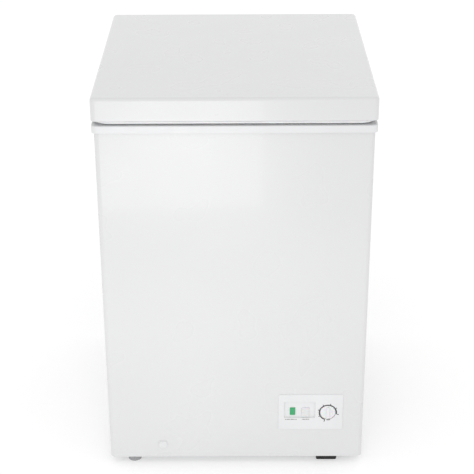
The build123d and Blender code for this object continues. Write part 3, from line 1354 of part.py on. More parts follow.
with BuildPart() as lid_outer_panel:
    with BuildSketch(level(LID_BOTTOM_Z)):
        lid_outline(0)
    extrude(amount=HEIGHT - LID_BOTTOM_Z)
    fillet(lid_outer_panel.faces().sort_by(Axis.Z)[-1].edges(), LID_EDGE_R)
    add(lid_room.part, mode=Mode.SUBTRACT)
    with BuildSketch(level(LID_BOTTOM_Z)):
        lid_outline(LID_FLANGE)
    extrude(amount=SHEET, mode=Mode.SUBTRACT)
    with BuildSketch(facing_front(LID_BACK)):
        with Locations(*LEAF_SCREW_SPOTS):
            Circle(SCREW_R + FIT)
    extrude(amount=SHEET, mode=Mode.SUBTRACT)
lid_outer_panel.part.label = "lid_outer_panel"
export_step(lid_outer_panel.part, "parts/lid_outer_panel.step")

RIDGE_TOP_Z = PANEL_PLATE_Z + 9.0
GROOVE_TOP_Z = PANEL_PLATE_Z + 7.0
with BuildPart() as lid_inner_panel:
    with BuildSketch(level(PANEL_PLATE_Z)):
        lid_outline(SHEET + FIT)
    extrude(amount=INNER_WALL)
    add(bulge(0, BULGE_LOW_Z, PANEL_PLATE_Z + INNER_WALL))
    add(
        bulge(-INNER_WALL, BULGE_LOW_Z + INNER_WALL, PANEL_PLATE_Z + INNER_WALL + 1),
        mode=Mode.SUBTRACT,
    )
    # folded ridge with a groove that holds the gasket's barb
    with BuildSketch(level(PANEL_PLATE_Z)):
        gasket_outline(5, 8)
    extrude(amount=RIDGE_TOP_Z - PANEL_PLATE_Z)
    with BuildSketch(level(PANEL_PLATE_Z)):
        gasket_outline(7, 4)
    extrude(amount=GROOVE_TOP_Z - PANEL_PLATE_Z, mode=Mode.SUBTRACT)
lid_inner_panel.part.label = "lid_inner_panel"
export_step(lid_inner_panel.part, "parts/lid_inner_panel.step")

with BuildPart() as lid_foam:
    with BuildSketch(level(PANEL_PLATE_Z + INNER_WALL)):
        lid_outline(SHEET + FIT)
    extrude(amount=HEIGHT - SHEET - FIT - PANEL_PLATE_Z - INNER_WALL)
    fillet(lid_foam.faces().sort_by(Axis.Z)[-1].edges(), LID_EDGE_R - SHEET)
    add(bulge(-INNER_WALL - FIT, BULGE_LOW_Z + INNER_WALL, PANEL_PLATE_Z + INNER_WALL + 1))
    with BuildSketch(level(PANEL_PLATE_Z)):
        gasket_outline(4.9, 8.2)
    extrude(amount=RIDGE_TOP_Z + FIT - PANEL_PLATE_Z, mode=Mode.SUBTRACT)
    with BuildSketch(facing_front(LID_BACK)):
        with Locations(*LEAF_SCREW_SPOTS):
            Circle(SCREW_R + FIT)
    extrude(amount=SCREW_REACH, mode=Mode.SUBTRACT)
lid_foam.part.label = "lid_foam"
export_step(lid_foam.part, "parts/lid_foam.step")

with BuildPart() as lid_gasket:
    # magnetic strip chamber, thin waist, base and barb, from the bottom up
    for low, high, inset, width in (
        (GASKET_LOW_Z, GASKET_LOW_Z + 3.7, 0, GASKET_WIDTH),
        (GASKET_LOW_Z + 3.7, PANEL_PLATE_Z - 3, 2.5, GASKET_WIDTH - 5),
        (PANEL_PLATE_Z - 3, PANEL_PLATE_Z, 0, GASKET_WIDTH),
        (PANEL_PLATE_Z, GROOVE_TOP_Z - 1, 7.3, 3.4),
    ):
        with BuildSketch(level(low)):
            gasket_outline(inset, width)
        extrude(amount=high - low)
lid_gasket.part.label = "lid_gasket"
export_step(lid_gasket.part, "parts/lid_gasket.step")

# =====================================================================================
# Basket, hung from the ledges at its front and back
# =====================================================================================
BASKET_X = (5.0, 211.0)
BASKET_RIM_Z = LEDGE_Z + 0.2
BASKET_RIM = 5.0
BASKET_FLOOR_Z = 530.0
BASKET_WALL = 3.0
BAR_PITCH, WINDOW = 36.0, 31.0
RIM_FRONT, RIM_BACK = MOUTH_FRONT + 1.5, MOUTH_BACK - 1.5
BODY_FRONT, BODY_BACK = SPACE_FRONT + 6.5, SPACE_BACK - 6.0
BASKET_MID_X = middle(*BASKET_X)
BODY_HALF_X = (BASKET_X[1] - BASKET_X[0]) / 2 - 3.0
BODY_DEPTH = BODY_BACK - BODY_FRONT
BODY_MID_Y = middle(BODY_FRONT, BODY_BACK)
BASKET_CORNER_R = 32.0

with BuildPart() as cage:
    with BuildSketch(level(BASKET_FLOOR_Z)):
        with Locations((BASKET_MID_X, BODY_MID_Y)):
            RectangleRounded(2 * BODY_HALF_X, BODY_DEPTH, BASKET_CORNER_R - 3)
    extrude(amount=BASKET_RIM_Z + BASKET_RIM - BASKET_FLOOR_Z)
    # rim frame that rests on the ledges
    with BuildSketch(level(BASKET_RIM_Z)):
        with Locations((BASKET_MID_X, middle(RIM_FRONT, RIM_BACK))):
            RectangleRounded(BASKET_X[1] - BASKET_X[0], RIM_BACK - RIM_FRONT, BASKET_CORNER_R)
    extrude(amount=BASKET_RIM)
    with BuildSketch(level(BASKET_FLOOR_Z + BASKET_WALL)):
        with Locations((BASKET_MID_X, BODY_MID_Y)):
            RectangleRounded(
                2 * (BODY_HALF_X - BASKET_WALL),
                BODY_DEPTH - 2 * BASKET_WALL,
                BASKET_CORNER_R - 3 - BASKET_WALL,
            )
    extrude(amount=BASKET_RIM_Z + BASKET_RIM - BASKET_FLOOR_Z, mode=Mode.SUBTRACT)
    # openings between the bars of the walls and the floor
    wall_mid_z = middle(BASKET_FLOOR_Z + BASKET_WALL, BASKET_RIM_Z)
    with BuildSketch(facing_front(300)):
        with Locations((BASKET_MID_X, wall_mid_z)):
            with GridLocations(BAR_PITCH, BAR_PITCH, 4, 6):
                Rectangle(WINDOW, WINDOW)
    extrude(amount=600, mode=Mode.SUBTRACT)
    with BuildSketch(facing_right(BASKET_X[0] - 20)):
        with Locations((BODY_MID_Y, wall_mid_z)):
            with GridLocations(BAR_PITCH, BAR_PITCH, 10, 6):
                Rectangle(WINDOW, WINDOW)
    extrude(amount=300, mode=Mode.SUBTRACT)
    with BuildSketch(level(BASKET_FLOOR_Z)):
        with Locations((BASKET_MID_X, BODY_MID_Y)):
            with GridLocations(BAR_PITCH, BAR_PITCH, 4, 10):
                Rectangle(WINDOW, WINDOW)
    extrude(amount=BASKET_WALL, mode=Mode.SUBTRACT)


def cage_between(x_span, y_span, z_span):
    """The stretch of the cage inside a box, whose sides are (low, high) pairs."""
    with BuildPart() as stretch:
        add(cage.part)
        with Locations((middle(*x_span), middle(*y_span), middle(*z_span))):
            Box(*(high - low for low, high in (x_span, y_span, z_span)), mode=Mode.INTERSECT)
    return stretch.part


# the cage is welded up from a floor grid, and straight and corner lengths of side grid and rim
WHOLE_X = (BASKET_X[0] - 1, BASKET_X[1] + 1)
WHOLE_Y = (RIM_FRONT - 1, RIM_BACK + 1)
STRAIGHT_X = BODY_HALF_X - BASKET_CORNER_R + 3
STRAIGHT_Y = BODY_DEPTH / 2 - BASKET_CORNER_R + 3
basket_floor = cage_between(WHOLE_X, WHOLE_Y, (BASKET_FLOOR_Z, BASKET_FLOOR_Z + BASKET_WALL))
basket_floor.label = "basket_floor"
export_step(basket_floor, "parts/basket_floor.step")

LENGTH_XS = (
    (WHOLE_X[0], BASKET_MID_X - STRAIGHT_X),
    (BASKET_MID_X - STRAIGHT_X, BASKET_MID_X + STRAIGHT_X),
    (BASKET_MID_X + STRAIGHT_X, WHOLE_X[1]),
)
LENGTH_YS = (
    (WHOLE_Y[0], BODY_MID_Y - STRAIGHT_Y),
    (BODY_MID_Y - STRAIGHT_Y, BODY_MID_Y + STRAIGHT_Y),
    (BODY_MID_Y + STRAIGHT_Y, WHOLE_Y[1]),
)
for label, z_span in (
    ("basket_sides", (BASKET_FLOOR_Z + BASKET_WALL, BASKET_RIM_Z)),
    ("basket_rim", (BASKET_RIM_Z, BASKET_RIM_Z + BASKET_RIM)),
):
    lengths = [
        cage_between(x_span, y_span, z_span)
        for x_span in LENGTH_XS
        for y_span in LENGTH_YS
        if (x_span, y_span) != (LENGTH_XS[1], LENGTH_YS[1])
    ]
    export_step(Compound(label=label, children=lengths), f"parts/{label}.step")
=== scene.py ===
"""A small white chest freezer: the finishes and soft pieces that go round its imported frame.

Lengths are metres in the frame's own axes: +Z up, the front towards -Y, +X to the right of
somebody facing the front.
"""
import json
import math

import bmesh
import bpy
from bpy.props import (
    FloatProperty,
    FloatVectorProperty,
    IntProperty,
    PointerProperty,
)
from mathutils import Matrix, Vector


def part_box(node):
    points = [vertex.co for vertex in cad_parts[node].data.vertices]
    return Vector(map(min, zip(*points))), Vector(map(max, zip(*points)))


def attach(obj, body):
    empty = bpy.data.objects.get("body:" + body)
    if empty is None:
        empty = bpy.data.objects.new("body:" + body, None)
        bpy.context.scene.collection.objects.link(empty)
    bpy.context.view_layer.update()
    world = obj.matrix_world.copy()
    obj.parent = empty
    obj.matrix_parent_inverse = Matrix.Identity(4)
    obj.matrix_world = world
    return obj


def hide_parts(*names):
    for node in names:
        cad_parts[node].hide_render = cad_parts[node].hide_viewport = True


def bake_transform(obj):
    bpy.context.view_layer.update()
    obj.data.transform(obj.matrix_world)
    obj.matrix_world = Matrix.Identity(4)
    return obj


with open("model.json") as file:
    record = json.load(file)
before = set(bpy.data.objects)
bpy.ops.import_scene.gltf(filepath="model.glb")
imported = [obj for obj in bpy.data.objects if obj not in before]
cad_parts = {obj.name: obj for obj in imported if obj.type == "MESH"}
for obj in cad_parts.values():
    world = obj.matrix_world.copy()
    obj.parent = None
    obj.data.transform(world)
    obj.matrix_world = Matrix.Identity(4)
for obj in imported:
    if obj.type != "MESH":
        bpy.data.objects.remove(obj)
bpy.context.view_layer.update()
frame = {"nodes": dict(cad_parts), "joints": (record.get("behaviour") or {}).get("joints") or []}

bl_info = {
    "name": "Chest freezer",
    "version": (1, 0, 0),
    "blender": (4, 5, 0),
    "location": "3D View > Sidebar > Freezer",
    "description": "Finishes, gasket, basket and springs for a small chest freezer",
    "category": "Object",
}

MM = 0.001
JOINTS = {joint["name"]: joint for joint in frame["joints"]}
HINGE = Vector(JOINTS["lid_hinge"]["pos_m"])
KNOB = Vector(JOINTS["thermostat_turn"]["pos_m"])
# the mix node's colour sockets, whose names it also gives to its other kinds of value
MIX_FIRST, MIX_SECOND, MIX_RESULT = 6, 7, 2


# ---- properties ---------------------------------------------------------------------------
def colour(name, description, default):
    """A linear colour with a picker."""
    return FloatVectorProperty(
        name=name,
        description=description,
        subtype="COLOR",
        size=3,
        min=0.0,
        max=1.0,
        default=default,
    )


def length(name, description, default):
    """A length in metres."""
    return FloatProperty(
        name=name, description=description, default=default, min=0.0, unit="LENGTH", precision=5
    )


class FREEZER_PG_stage(bpy.types.PropertyGroup):
    """Camera, floor and studio lights"""

    camera_place: FloatVectorProperty(
        name="Camera place",
        description="Where the camera stands",
        size=3,
        subtype="TRANSLATION",
        unit="LENGTH",
        default=(0.00467, -2.6914, 1.7037),
    )
    camera_tilt: FloatProperty(
        name="Camera tilt",
        description="How far the camera looks down",
        unit="ROTATION",
        default=math.radians(25.65),
    )
    camera_turn: FloatProperty(
        name="Camera turn",
        description="How far the camera looks to the left",
        unit="ROTATION",
        default=math.radians(0.02),
    )
    camera_roll: FloatProperty(
        name="Camera roll",
        description="How far the camera leans to its right",
        unit="ROTATION",
        default=math.radians(0.233),
    )
    lens: FloatProperty(
        name="Lens",
        description="Focal length on a 36 mm sensor, in millimetres",
        default=99.9,
        min=1.0,
        unit="CAMERA",
    )
    floor_size: length("Floor size", "Side of the square floor", 60.0)
    floor_colour: colour("Floor colour", "Pale matt floor", (0.60, 0.60, 0.60))
    floor_glow: FloatProperty(
        name="Floor glow",
        description="Light from the back-lit floor itself",
        default=0.40,
        min=0.0,
        subtype="FACTOR",
    )
    sky_strength: FloatProperty(
        name="Sky strength",
        description="Brightness all round",
        default=1.06,
        min=0.0,
        subtype="UNSIGNED",
    )
    front_place: FloatVectorProperty(
        name="Front light place",
        description="Where the soft light stands",
        size=3,
        subtype="TRANSLATION",
        unit="LENGTH",
        default=(-0.15, -1.2, 0.42),
    )
    front_target: FloatVectorProperty(
        name="Front light target",
        description="What the soft light is aimed at",
        size=3,
        subtype="TRANSLATION",
        unit="LENGTH",
        default=(-0.10, -0.3, 0.36),
    )
    front_size: length("Front light size", "Side of the square soft light", 0.45)
    front_power: FloatProperty(
        name="Front light power",
        description="Soft light in front of the cabinet",
        unit="POWER",
        default=1.75,
        min=0.0,
    )


class FREEZER_PG_finishes(bpy.types.PropertyGroup):
    """Colours of the freezer's materials"""

    white_paint: colour("White paint", "Enamel of cabinet and lid", (0.655, 0.657, 0.661))
    white_plastic: colour("White plastic", "Trim, panel, lid liner", (0.70, 0.704, 0.71))
    knob: colour("Knob", "Milky knob", (0.72, 0.725, 0.735))
    power_lens: colour("Power lens", "Green lamp lens", (0.02, 0.33, 0.12))
    run_lens: colour("Run lens", "Unlit milky lamp lens", (0.78, 0.785, 0.79))
    gasket: colour("Gasket", "Soft vinyl of the lid's seal", (0.80, 0.805, 0.81))
    liner: colour("Liner", "Embossed inner lining", (0.76, 0.765, 0.77))
    foam: colour("Foam", "Rigid insulation", (0.74, 0.62, 0.32))
    galvanised: colour("Galvanised steel", "Back, base and bay sheets", (0.52, 0.535, 0.55))
    plated_steel: colour("Plated steel", "Hinges and screws", (0.62, 0.63, 0.65))
    spring_steel: colour("Spring steel", "Hinge springs", (0.22, 0.23, 0.25))
    copper: colour("Copper", "Pipes in the machine bay", (0.62, 0.27, 0.14))
    aluminium: colour("Aluminium", "Evaporator pipe", (0.68, 0.69, 0.70))
    dark_pipe: colour("Coated pipe", "Condenser pipe", (0.035, 0.036, 0.04))
    compressor: colour("Compressor", "Black compressor paint", (0.012, 0.012, 0.013))
    black_plastic: colour("Black plastic", "Relay cover, gland, wires", (0.018, 0.018, 0.02))
    rubber: colour("Rubber", "Pads and grommets", (0.012, 0.012, 0.012))
    grey_plastic: colour("Grey plastic", "Levelling feet", (0.34, 0.34, 0.35))
    ink: colour("Ink", "Dial printing", (0.01, 0.01, 0.01))
    faint_ink: colour("Faint ink", "Caption printing", (0.20, 0.19, 0.18))


class FREEZER_PG_gasket(bpy.types.PropertyGroup):
    """The lid's magnetic gasket"""

    corner_radius: length("Corner radius", "Outer radius at each corner", 24 * MM)
    width: length("Width", "Width of the magnet pocket", 18 * MM)
    ripple: length("Ripple", "Waviness of the soft folds", 0.35 * MM)


class FREEZER_PG_basket(bpy.types.PropertyGroup):
    """The coated wire basket"""

    rim_wire: length("Rim wire", "Radius of the rim wire", 2.5 * MM)
    body_wire: length("Body wire", "Radius of the other wires", 1.5 * MM)
    pitch: length("Wire pitch", "Distance between upright wires", 18 * MM)
    hoop_pitch: length("Hoop pitch", "Height between hoops", 36 * MM)


class FREEZER_PG_spring(bpy.types.PropertyGroup):
    """The hinge springs"""

    wire: length("Wire", "Radius of the spring wire", 0.9 * MM)
    coil: length("Coil", "Radius of the coil", 4.4 * MM)
    turns: IntProperty(name="Turns", description="Turns of each spring", default=10,
                       min=1, subtype="UNSIGNED")


class FREEZER_PG_dial(bpy.types.PropertyGroup):
    """Printing round the knob and under the lamps"""

    ring_radius: length("Ring radius", "Middle radius of the printed ring", 18.7 * MM)
    ring_width: length("Ring width", "Width of the printed ring", 2.1 * MM)
    first_angle: FloatProperty(
        name="Lowest setting",
        description="Angle of the lowest setting, anticlockwise from +X",
        unit="ROTATION",
        default=math.radians(251),
    )
    last_angle: FloatProperty(
        name="Highest setting",
        description="Angle of the highest setting, anticlockwise from +X",
        unit="ROTATION",
        default=math.radians(-13),
    )
    settings: IntProperty(
        name="Settings", description="Marks on the dial", default=7, min=2, subtype="UNSIGNED"
    )
    thickness: length("Ink thickness", "How far the ink stands up", 0.12 * MM)


# ---- material building --------------------------------------------------------------------
class Finish:
    """One material: a shader and the patterns that feed it, all in the frame's coordinates."""

    def __init__(self, name, **sockets):
        self.material = bpy.data.materials.new(name)
        self.material.use_nodes = True
        self.tree = self.material.node_tree
        self.shader = self.tree.nodes["Principled BSDF"]
        self.coords = self.node("ShaderNodeTexCoord").outputs["Object"]
        for socket, value in sockets.items():
            self.shader.inputs[socket.replace("_", " ")].default_value = value

    def node(self, kind, **values):
        made = self.tree.nodes.new(kind)
        for socket, value in values.items():
            made.inputs[socket].default_value = value
        return made

    def noise(self, scale, detail=3.0, stretch=None):
        """Soft random pattern with features about 1/scale across."""
        made = self.node("ShaderNodeTexNoise", Scale=scale, Detail=detail)
        coords = self.coords
        if stretch:
            mapping = self.node("ShaderNodeMapping")
            mapping.inputs["Scale"].default_value = stretch
            self.tree.links.new(coords, mapping.inputs["Vector"])
            coords = mapping.outputs["Vector"]
        self.tree.links.new(coords, made.inputs["Vector"])
        return made.outputs["Fac"]

    def cells(self, scale, feature="F1"):
        """A node of cells about 1/scale across, with Distance and Color outputs."""
        made = self.node("ShaderNodeTexVoronoi", Scale=scale)
        made.feature = feature
        self.tree.links.new(self.coords, made.inputs["Vector"])
        return made

    def spread(self, value, low, high, start=0.35, end=0.65):
        """The pattern's values from start to end, carried to low to high."""
        made = self.node("ShaderNodeMapRange")
        for socket, number in zip(("From Min", "From Max", "To Min", "To Max"),
                                  (start, end, low, high)):
            made.inputs[socket].default_value = number
        self.tree.links.new(value, made.inputs["Value"])
        return made.outputs["Result"]

    def tint(self, value, first, second):
        """The base colour, between first and second as the pattern goes."""
        made = self.node("ShaderNodeMix")
        made.data_type = "RGBA"
        made.inputs[MIX_FIRST].default_value = (*first, 1.0)
        made.inputs[MIX_SECOND].default_value = (*second, 1.0)
        self.tree.links.new(value, made.inputs["Factor"])
        self.tree.links.new(made.outputs[MIX_RESULT], self.shader.inputs["Base Color"])

    def roughness(self, value):
        """The roughness, as the pattern goes."""
        self.tree.links.new(value, self.shader.inputs["Roughness"])

    def relief(self, *layers):
        """Raised and sunk detail: each layer is (pattern, depth in metres)."""
        normal = None
        for height, depth in layers:
            made = self.node("ShaderNodeBump", Strength=1.0, Distance=depth)
            self.tree.links.new(height, made.inputs["Height"])
            if normal:
                self.tree.links.new(normal, made.inputs["Normal"])
            normal = made.outputs["Normal"]
        self.tree.links.new(normal, self.shader.inputs["Normal"])


def shade(tone, share):
    """The tone with this share of its brightness."""
    return tuple(c * share for c in tone)


def enamel(name, tone):
    """Baked gloss enamel on sheet steel, with faint orange peel."""
    finish = Finish(name, Coat_Weight=0.25, Coat_Roughness=0.08, Specular_IOR_Level=0.5)
    drift = finish.spread(finish.noise(3.5, 2.0), 0.0, 1.0)
    finish.tint(drift, tone, shade(tone, 0.985))
    finish.roughness(finish.spread(finish.noise(12.0, 1.0), 0.27, 0.31))
    finish.relief((finish.noise(220.0, 1.0), 0.000003), (finish.noise(5.0, 1.0), 0.00003))
    return finish.material


def moulded(name, tone, low=0.32, high=0.46, grain=900.0, depth=0.00002, **sockets):
    """Injection moulded plastic with a fine moulded grain and slow flow shading."""
    finish = Finish(name, **sockets)
    drift = finish.spread(finish.noise(9.0, 2.0), 0.0, 1.0)
    finish.tint(drift, tone, shade(tone, 0.965))
    finish.roughness(finish.spread(finish.noise(60.0), low, high))
    finish.relief((finish.noise(grain, 2.0), depth))
    return finish.material


def lamp_lens(name, tone, glow):
    """Translucent lens with fine upright prisms behind its face."""
    finish = Finish(
        name,
        Subsurface_Weight=0.25,
        Subsurface_Scale=0.004,
        Coat_Weight=0.5,
        Coat_Roughness=0.05,
        Emission_Color=(*tone, 1.0),
        Emission_Strength=glow,
    )
    prisms = finish.node("ShaderNodeTexWave", Scale=420.0, Distortion=0.4)
    finish.tree.links.new(finish.coords, prisms.inputs["Vector"])
    finish.tint(prisms.outputs["Fac"], tone, shade(tone, 0.72))
    finish.roughness(finish.spread(finish.noise(120.0), 0.16, 0.28))
    finish.relief((prisms.outputs["Fac"], 0.00008))
    return finish.material


def galvanised(name, tone):
    """Zinc coated sheet with crystal spangle and faint rolling lines."""
    finish = Finish(name, Metallic=0.85)
    spangle = finish.cells(95.0)
    fleck = finish.node("ShaderNodeSeparateColor")
    finish.tree.links.new(spangle.outputs["Color"], fleck.inputs["Color"])
    finish.tint(fleck.outputs["Red"], shade(tone, 0.82), tone)
    finish.roughness(finish.spread(fleck.outputs["Green"], 0.34, 0.52, 0.0, 1.0))
    finish.relief((finish.noise(500.0, 2.0, (1.0, 1.0, 0.04)), 0.00002))
    return finish.material


def plated(name, tone, low=0.22, high=0.42, metal=1.0):
    """Plated or bare metal with handling marks and fine scratches."""
    finish = Finish(name, Metallic=metal)
    drift = finish.spread(finish.noise(45.0), 0.0, 1.0)
    finish.tint(drift, tone, shade(tone, 0.80))
    finish.roughness(finish.spread(finish.noise(210.0, 4.0, (1.0, 0.15, 1.0)), low, high))
    finish.relief((finish.noise(1400.0, 2.0, (1.0, 0.08, 1.0)), 0.00001))
    return finish.material


def pipe_metal(name, tone, tarnish, metal=1.0):
    """Drawn pipe, tarnished in soft patches."""
    finish = Finish(name, Metallic=metal)
    patches = finish.spread(finish.noise(38.0, 4.0), 0.0, 1.0, 0.42, 0.62)
    finish.tint(patches, tone, tarnish)
    finish.roughness(finish.spread(finish.noise(70.0), 0.26, 0.50))
    finish.relief((finish.noise(900.0, 2.0), 0.00001))
    return finish.material


def stucco(name, tone):
    """Coated aluminium lining with an embossed pebble pattern, its hollows painted a little darker
    as shade.
    """
    finish = Finish(name, Specular_IOR_Level=0.5, Coat_Weight=0.15, Coat_Roughness=0.15)
    pebbles = finish.cells(165.0, "SMOOTH_F1")
    height = finish.spread(pebbles.outputs["Distance"], 1.0, 0.0, 0.1, 0.7)
    # painted shade: the hollows between the pebbles are tinted a little darker than their tops
    finish.tint(height, shade(tone, 0.955), tone)
    finish.roughness(finish.spread(finish.noise(40.0), 0.30, 0.42))
    finish.relief((height, 0.0005), (finish.noise(5.0, 1.0), 0.0006))
    return finish.material


def foamed(name, tone):
    """Rigid foam with fine open cells and a skinned surface."""
    finish = Finish(name)
    pores = finish.cells(900.0)
    drift = finish.spread(finish.noise(14.0, 4.0), 0.0, 1.0)
    finish.tint(drift, tone, shade(tone, 0.84))
    finish.roughness(finish.spread(finish.noise(80.0), 0.78, 0.95))
    finish.relief((pores.outputs["Distance"], 0.0004), (finish.noise(30.0), 0.0008))
    return finish.material


def vinyl(name, tone):
    """Soft gasket vinyl, dusty in its folds."""
    finish = Finish(name, Subsurface_Weight=0.1, Subsurface_Scale=0.002)
    drift = finish.spread(finish.noise(25.0, 3.0), 0.0, 1.0)
    finish.tint(drift, tone, shade(tone, 0.93))
    finish.roughness(finish.spread(finish.noise(90.0), 0.42, 0.58))
    finish.relief((finish.noise(700.0, 2.0, (0.2, 0.2, 1.0)), 0.00004))
    return finish.material


def rubber(name, tone):
    """Matt moulded rubber with bloom in soft patches."""
    finish = Finish(name, Specular_IOR_Level=0.35)
    drift = finish.spread(finish.noise(60.0, 4.0), 0.0, 1.0)
    finish.tint(drift, tone, tuple(c + 0.012 for c in tone))
    finish.roughness(finish.spread(finish.noise(150.0), 0.66, 0.86))
    finish.relief((finish.noise(1600.0, 2.0), 0.00004))
    return finish.material


def printed(name, tone):
    """Screen printed ink, slightly uneven."""
    finish = Finish(name)
    drift = finish.spread(finish.noise(700.0, 2.0), 0.0, 1.0)
    finish.tint(drift, tone, tuple(min(1.0, c * 1.25 + 0.01) for c in tone))
    finish.roughness(finish.spread(finish.noise(400.0), 0.45, 0.60))
    finish.relief((finish.noise(2500.0, 1.0), 0.000005))
    return finish.material


def finish_nodes(material, *names):
    """Gives these CAD nodes a material."""
    for name in names:
        for place in frame["nodes"][name].material_slots:
            place.material = material


# ---- mesh building ------------------------------------------------------------------------
def bend(before, corner, after, radius, steps=8):
    """Points of the round bend that takes one corner's place."""
    back = (before - corner).normalized()
    on = (after - corner).normalized()
    half = back.angle(on) / 2
    centre = corner + (back + on).normalized() * (radius / math.sin(half))
    start = corner + back * (radius / math.tan(half)) - centre
    end = corner + on * (radius / math.tan(half)) - centre
    # slerp gives unit vectors
    return [centre + start.slerp(end, i / steps) * radius for i in range(steps + 1)]


def rounded_run(corners, radius):
    """An open path of straight runs with round bends."""
    path = [corners[0]]
    for before, corner, after in zip(corners, corners[1:], corners[2:]):
        path += bend(before, corner, after, radius)
    return path + [corners[-1]]


def rounded_loop(low, high, z, radius):
    """A closed level path: a rectangle with round corners."""
    corners = [
        Vector((low[0], low[1], z)),
        Vector((high[0], low[1], z)),
        Vector((high[0], high[1], z)),
        Vector((low[0], high[1], z)),
    ]
    path = []
    for i, corner in enumerate(corners):
        path += bend(corners[i - 1], corner, corners[(i + 1) % 4], radius, 12)
    return path


def wires(name, runs):
    """Mesh of round wires: runs holds (path, closed, radius)."""
    mesh_parts = []
    for path, closed, radius in runs:
        curve = bpy.data.curves.new(name, "CURVE")
        curve.dimensions = "3D"
        curve.bevel_depth = radius
        curve.bevel_resolution = 3
        curve.use_fill_caps = True
        spline = curve.splines.new("POLY")
        spline.points.add(len(path) - 1)
        for point, place in zip(spline.points, path):
            point.co = (*place, 1.0)
        spline.use_cyclic_u = closed
        holder = bpy.data.objects.new(name, curve)
        mesh_parts.append(bpy.data.meshes.new_from_object(holder))
        bpy.data.objects.remove(holder)
        bpy.data.curves.remove(curve)
    joined = bmesh.new()
    for part in mesh_parts:
        joined.from_mesh(part)
        bpy.data.meshes.remove(part)
    return finished_mesh(name, joined)


def finished_mesh(name, shape, smooth=True):
    """Mesh of a bmesh whose faces all look outwards."""
    bmesh.ops.recalc_face_normals(shape, faces=shape.faces)
    for face in shape.faces:
        face.smooth = smooth
    mesh = bpy.data.meshes.new(name)
    shape.to_mesh(mesh)
    shape.free()
    return mesh


def piece(name, mesh, material, body=None):
    """A new object in the scene, riding on a body when one is given."""
    mesh.materials.append(material)
    made = bpy.data.objects.new(name, mesh)
    bpy.context.scene.collection.objects.link(made)
    if body:
        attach(made, body)
    return made


def loop_frames(low, high, radius, spacing, corner_steps):
    """(place, outward, corner share) round a level rectangle with round corners."""
    frames = []
    centres = [(low[0], low[1], 180), (high[0], low[1], 270), (high[0], high[1], 0),
               (low[0], high[1], 90)]
    for number, (x, y, angle) in enumerate(centres):
        inner = Vector((
            x + math.copysign(radius, -math.cos(math.radians(angle + 45))),
            y + math.copysign(radius, -math.sin(math.radians(angle + 45))),
        ))
        for step in range(corner_steps + 1):
            turn = math.radians(angle + 90 * step / corner_steps)
            outward = Vector((math.cos(turn), math.sin(turn)))
            frames.append((inner + outward * radius, outward,
                           math.sin(math.pi * step / corner_steps)))
        x_next, y_next, _ = centres[(number + 1) % 4]
        run = Vector((abs(x_next - x), abs(y_next - y))).length - 2 * radius
        along = Vector((math.cos(math.radians(angle + 180)), math.sin(math.radians(angle + 180))))
        outward = Vector((math.cos(math.radians(angle + 90)), math.sin(math.radians(angle + 90))))
        begin = frames[-1][0]
        count = max(2, round(run / spacing))
        for step in range(1, count):
            frames.append((begin + along * (run * step / count), outward, 0.0))
    return frames


GASKET_PROFILE = (  # (out, up, softness) in millimetres from the outer edge and the underside
    (-1.6, 0.0, 0.0), (-5.0, 0.0, 0.0), (-9.0, 0.15, 0.0), (-13.0, 0.0, 0.0),
    (-16.4, 0.0, 0.0), (-17.6, 0.5, 0.1), (-17.9, 1.9, 0.2), (-17.2, 3.2, 0.4),
    (-15.6, 3.9, 0.8), (-14.4, 4.6, 1.0), (-14.7, 5.5, 1.0), (-16.4, 6.4, 1.0),
    (-16.9, 7.3, 0.7), (-16.4, 8.2, 0.3), (-17.6, 9.0, 0.0), (-17.8, 10.2, 0.0),
    (-17.2, 10.7, 0.0), (-10.8, 10.7, 0.0), (-10.7, 12.6, 0.0), (-9.7, 15.9, 0.0),
    (-8.9, 16.6, 0.0), (-8.1, 15.9, 0.0), (-7.4, 12.6, 0.0), (-7.3, 10.7, 0.0),
    (-0.8, 10.7, 0.0), (-0.2, 10.3, 0.0), (3.0, 9.9, 0.2), (5.6, 8.9, 0.5),
    (6.9, 7.0, 0.8), (7.2, 4.9, 1.0), (6.8, 4.4, 1.0), (6.4, 4.9, 1.0),
    (6.1, 6.7, 0.8), (5.0, 8.1, 0.5), (2.6, 8.9, 0.2), (-0.6, 8.9, 0.0), (-1.7, 8.2, 0.3),
    (-1.1, 7.3, 0.7), (-1.6, 6.4, 1.0), (-3.4, 5.5, 1.0), (-3.7, 4.6, 1.0),
    (-2.4, 3.9, 0.8), (-0.8, 3.2, 0.4), (-0.1, 1.9, 0.2), (-0.4, 0.5, 0.1),
)


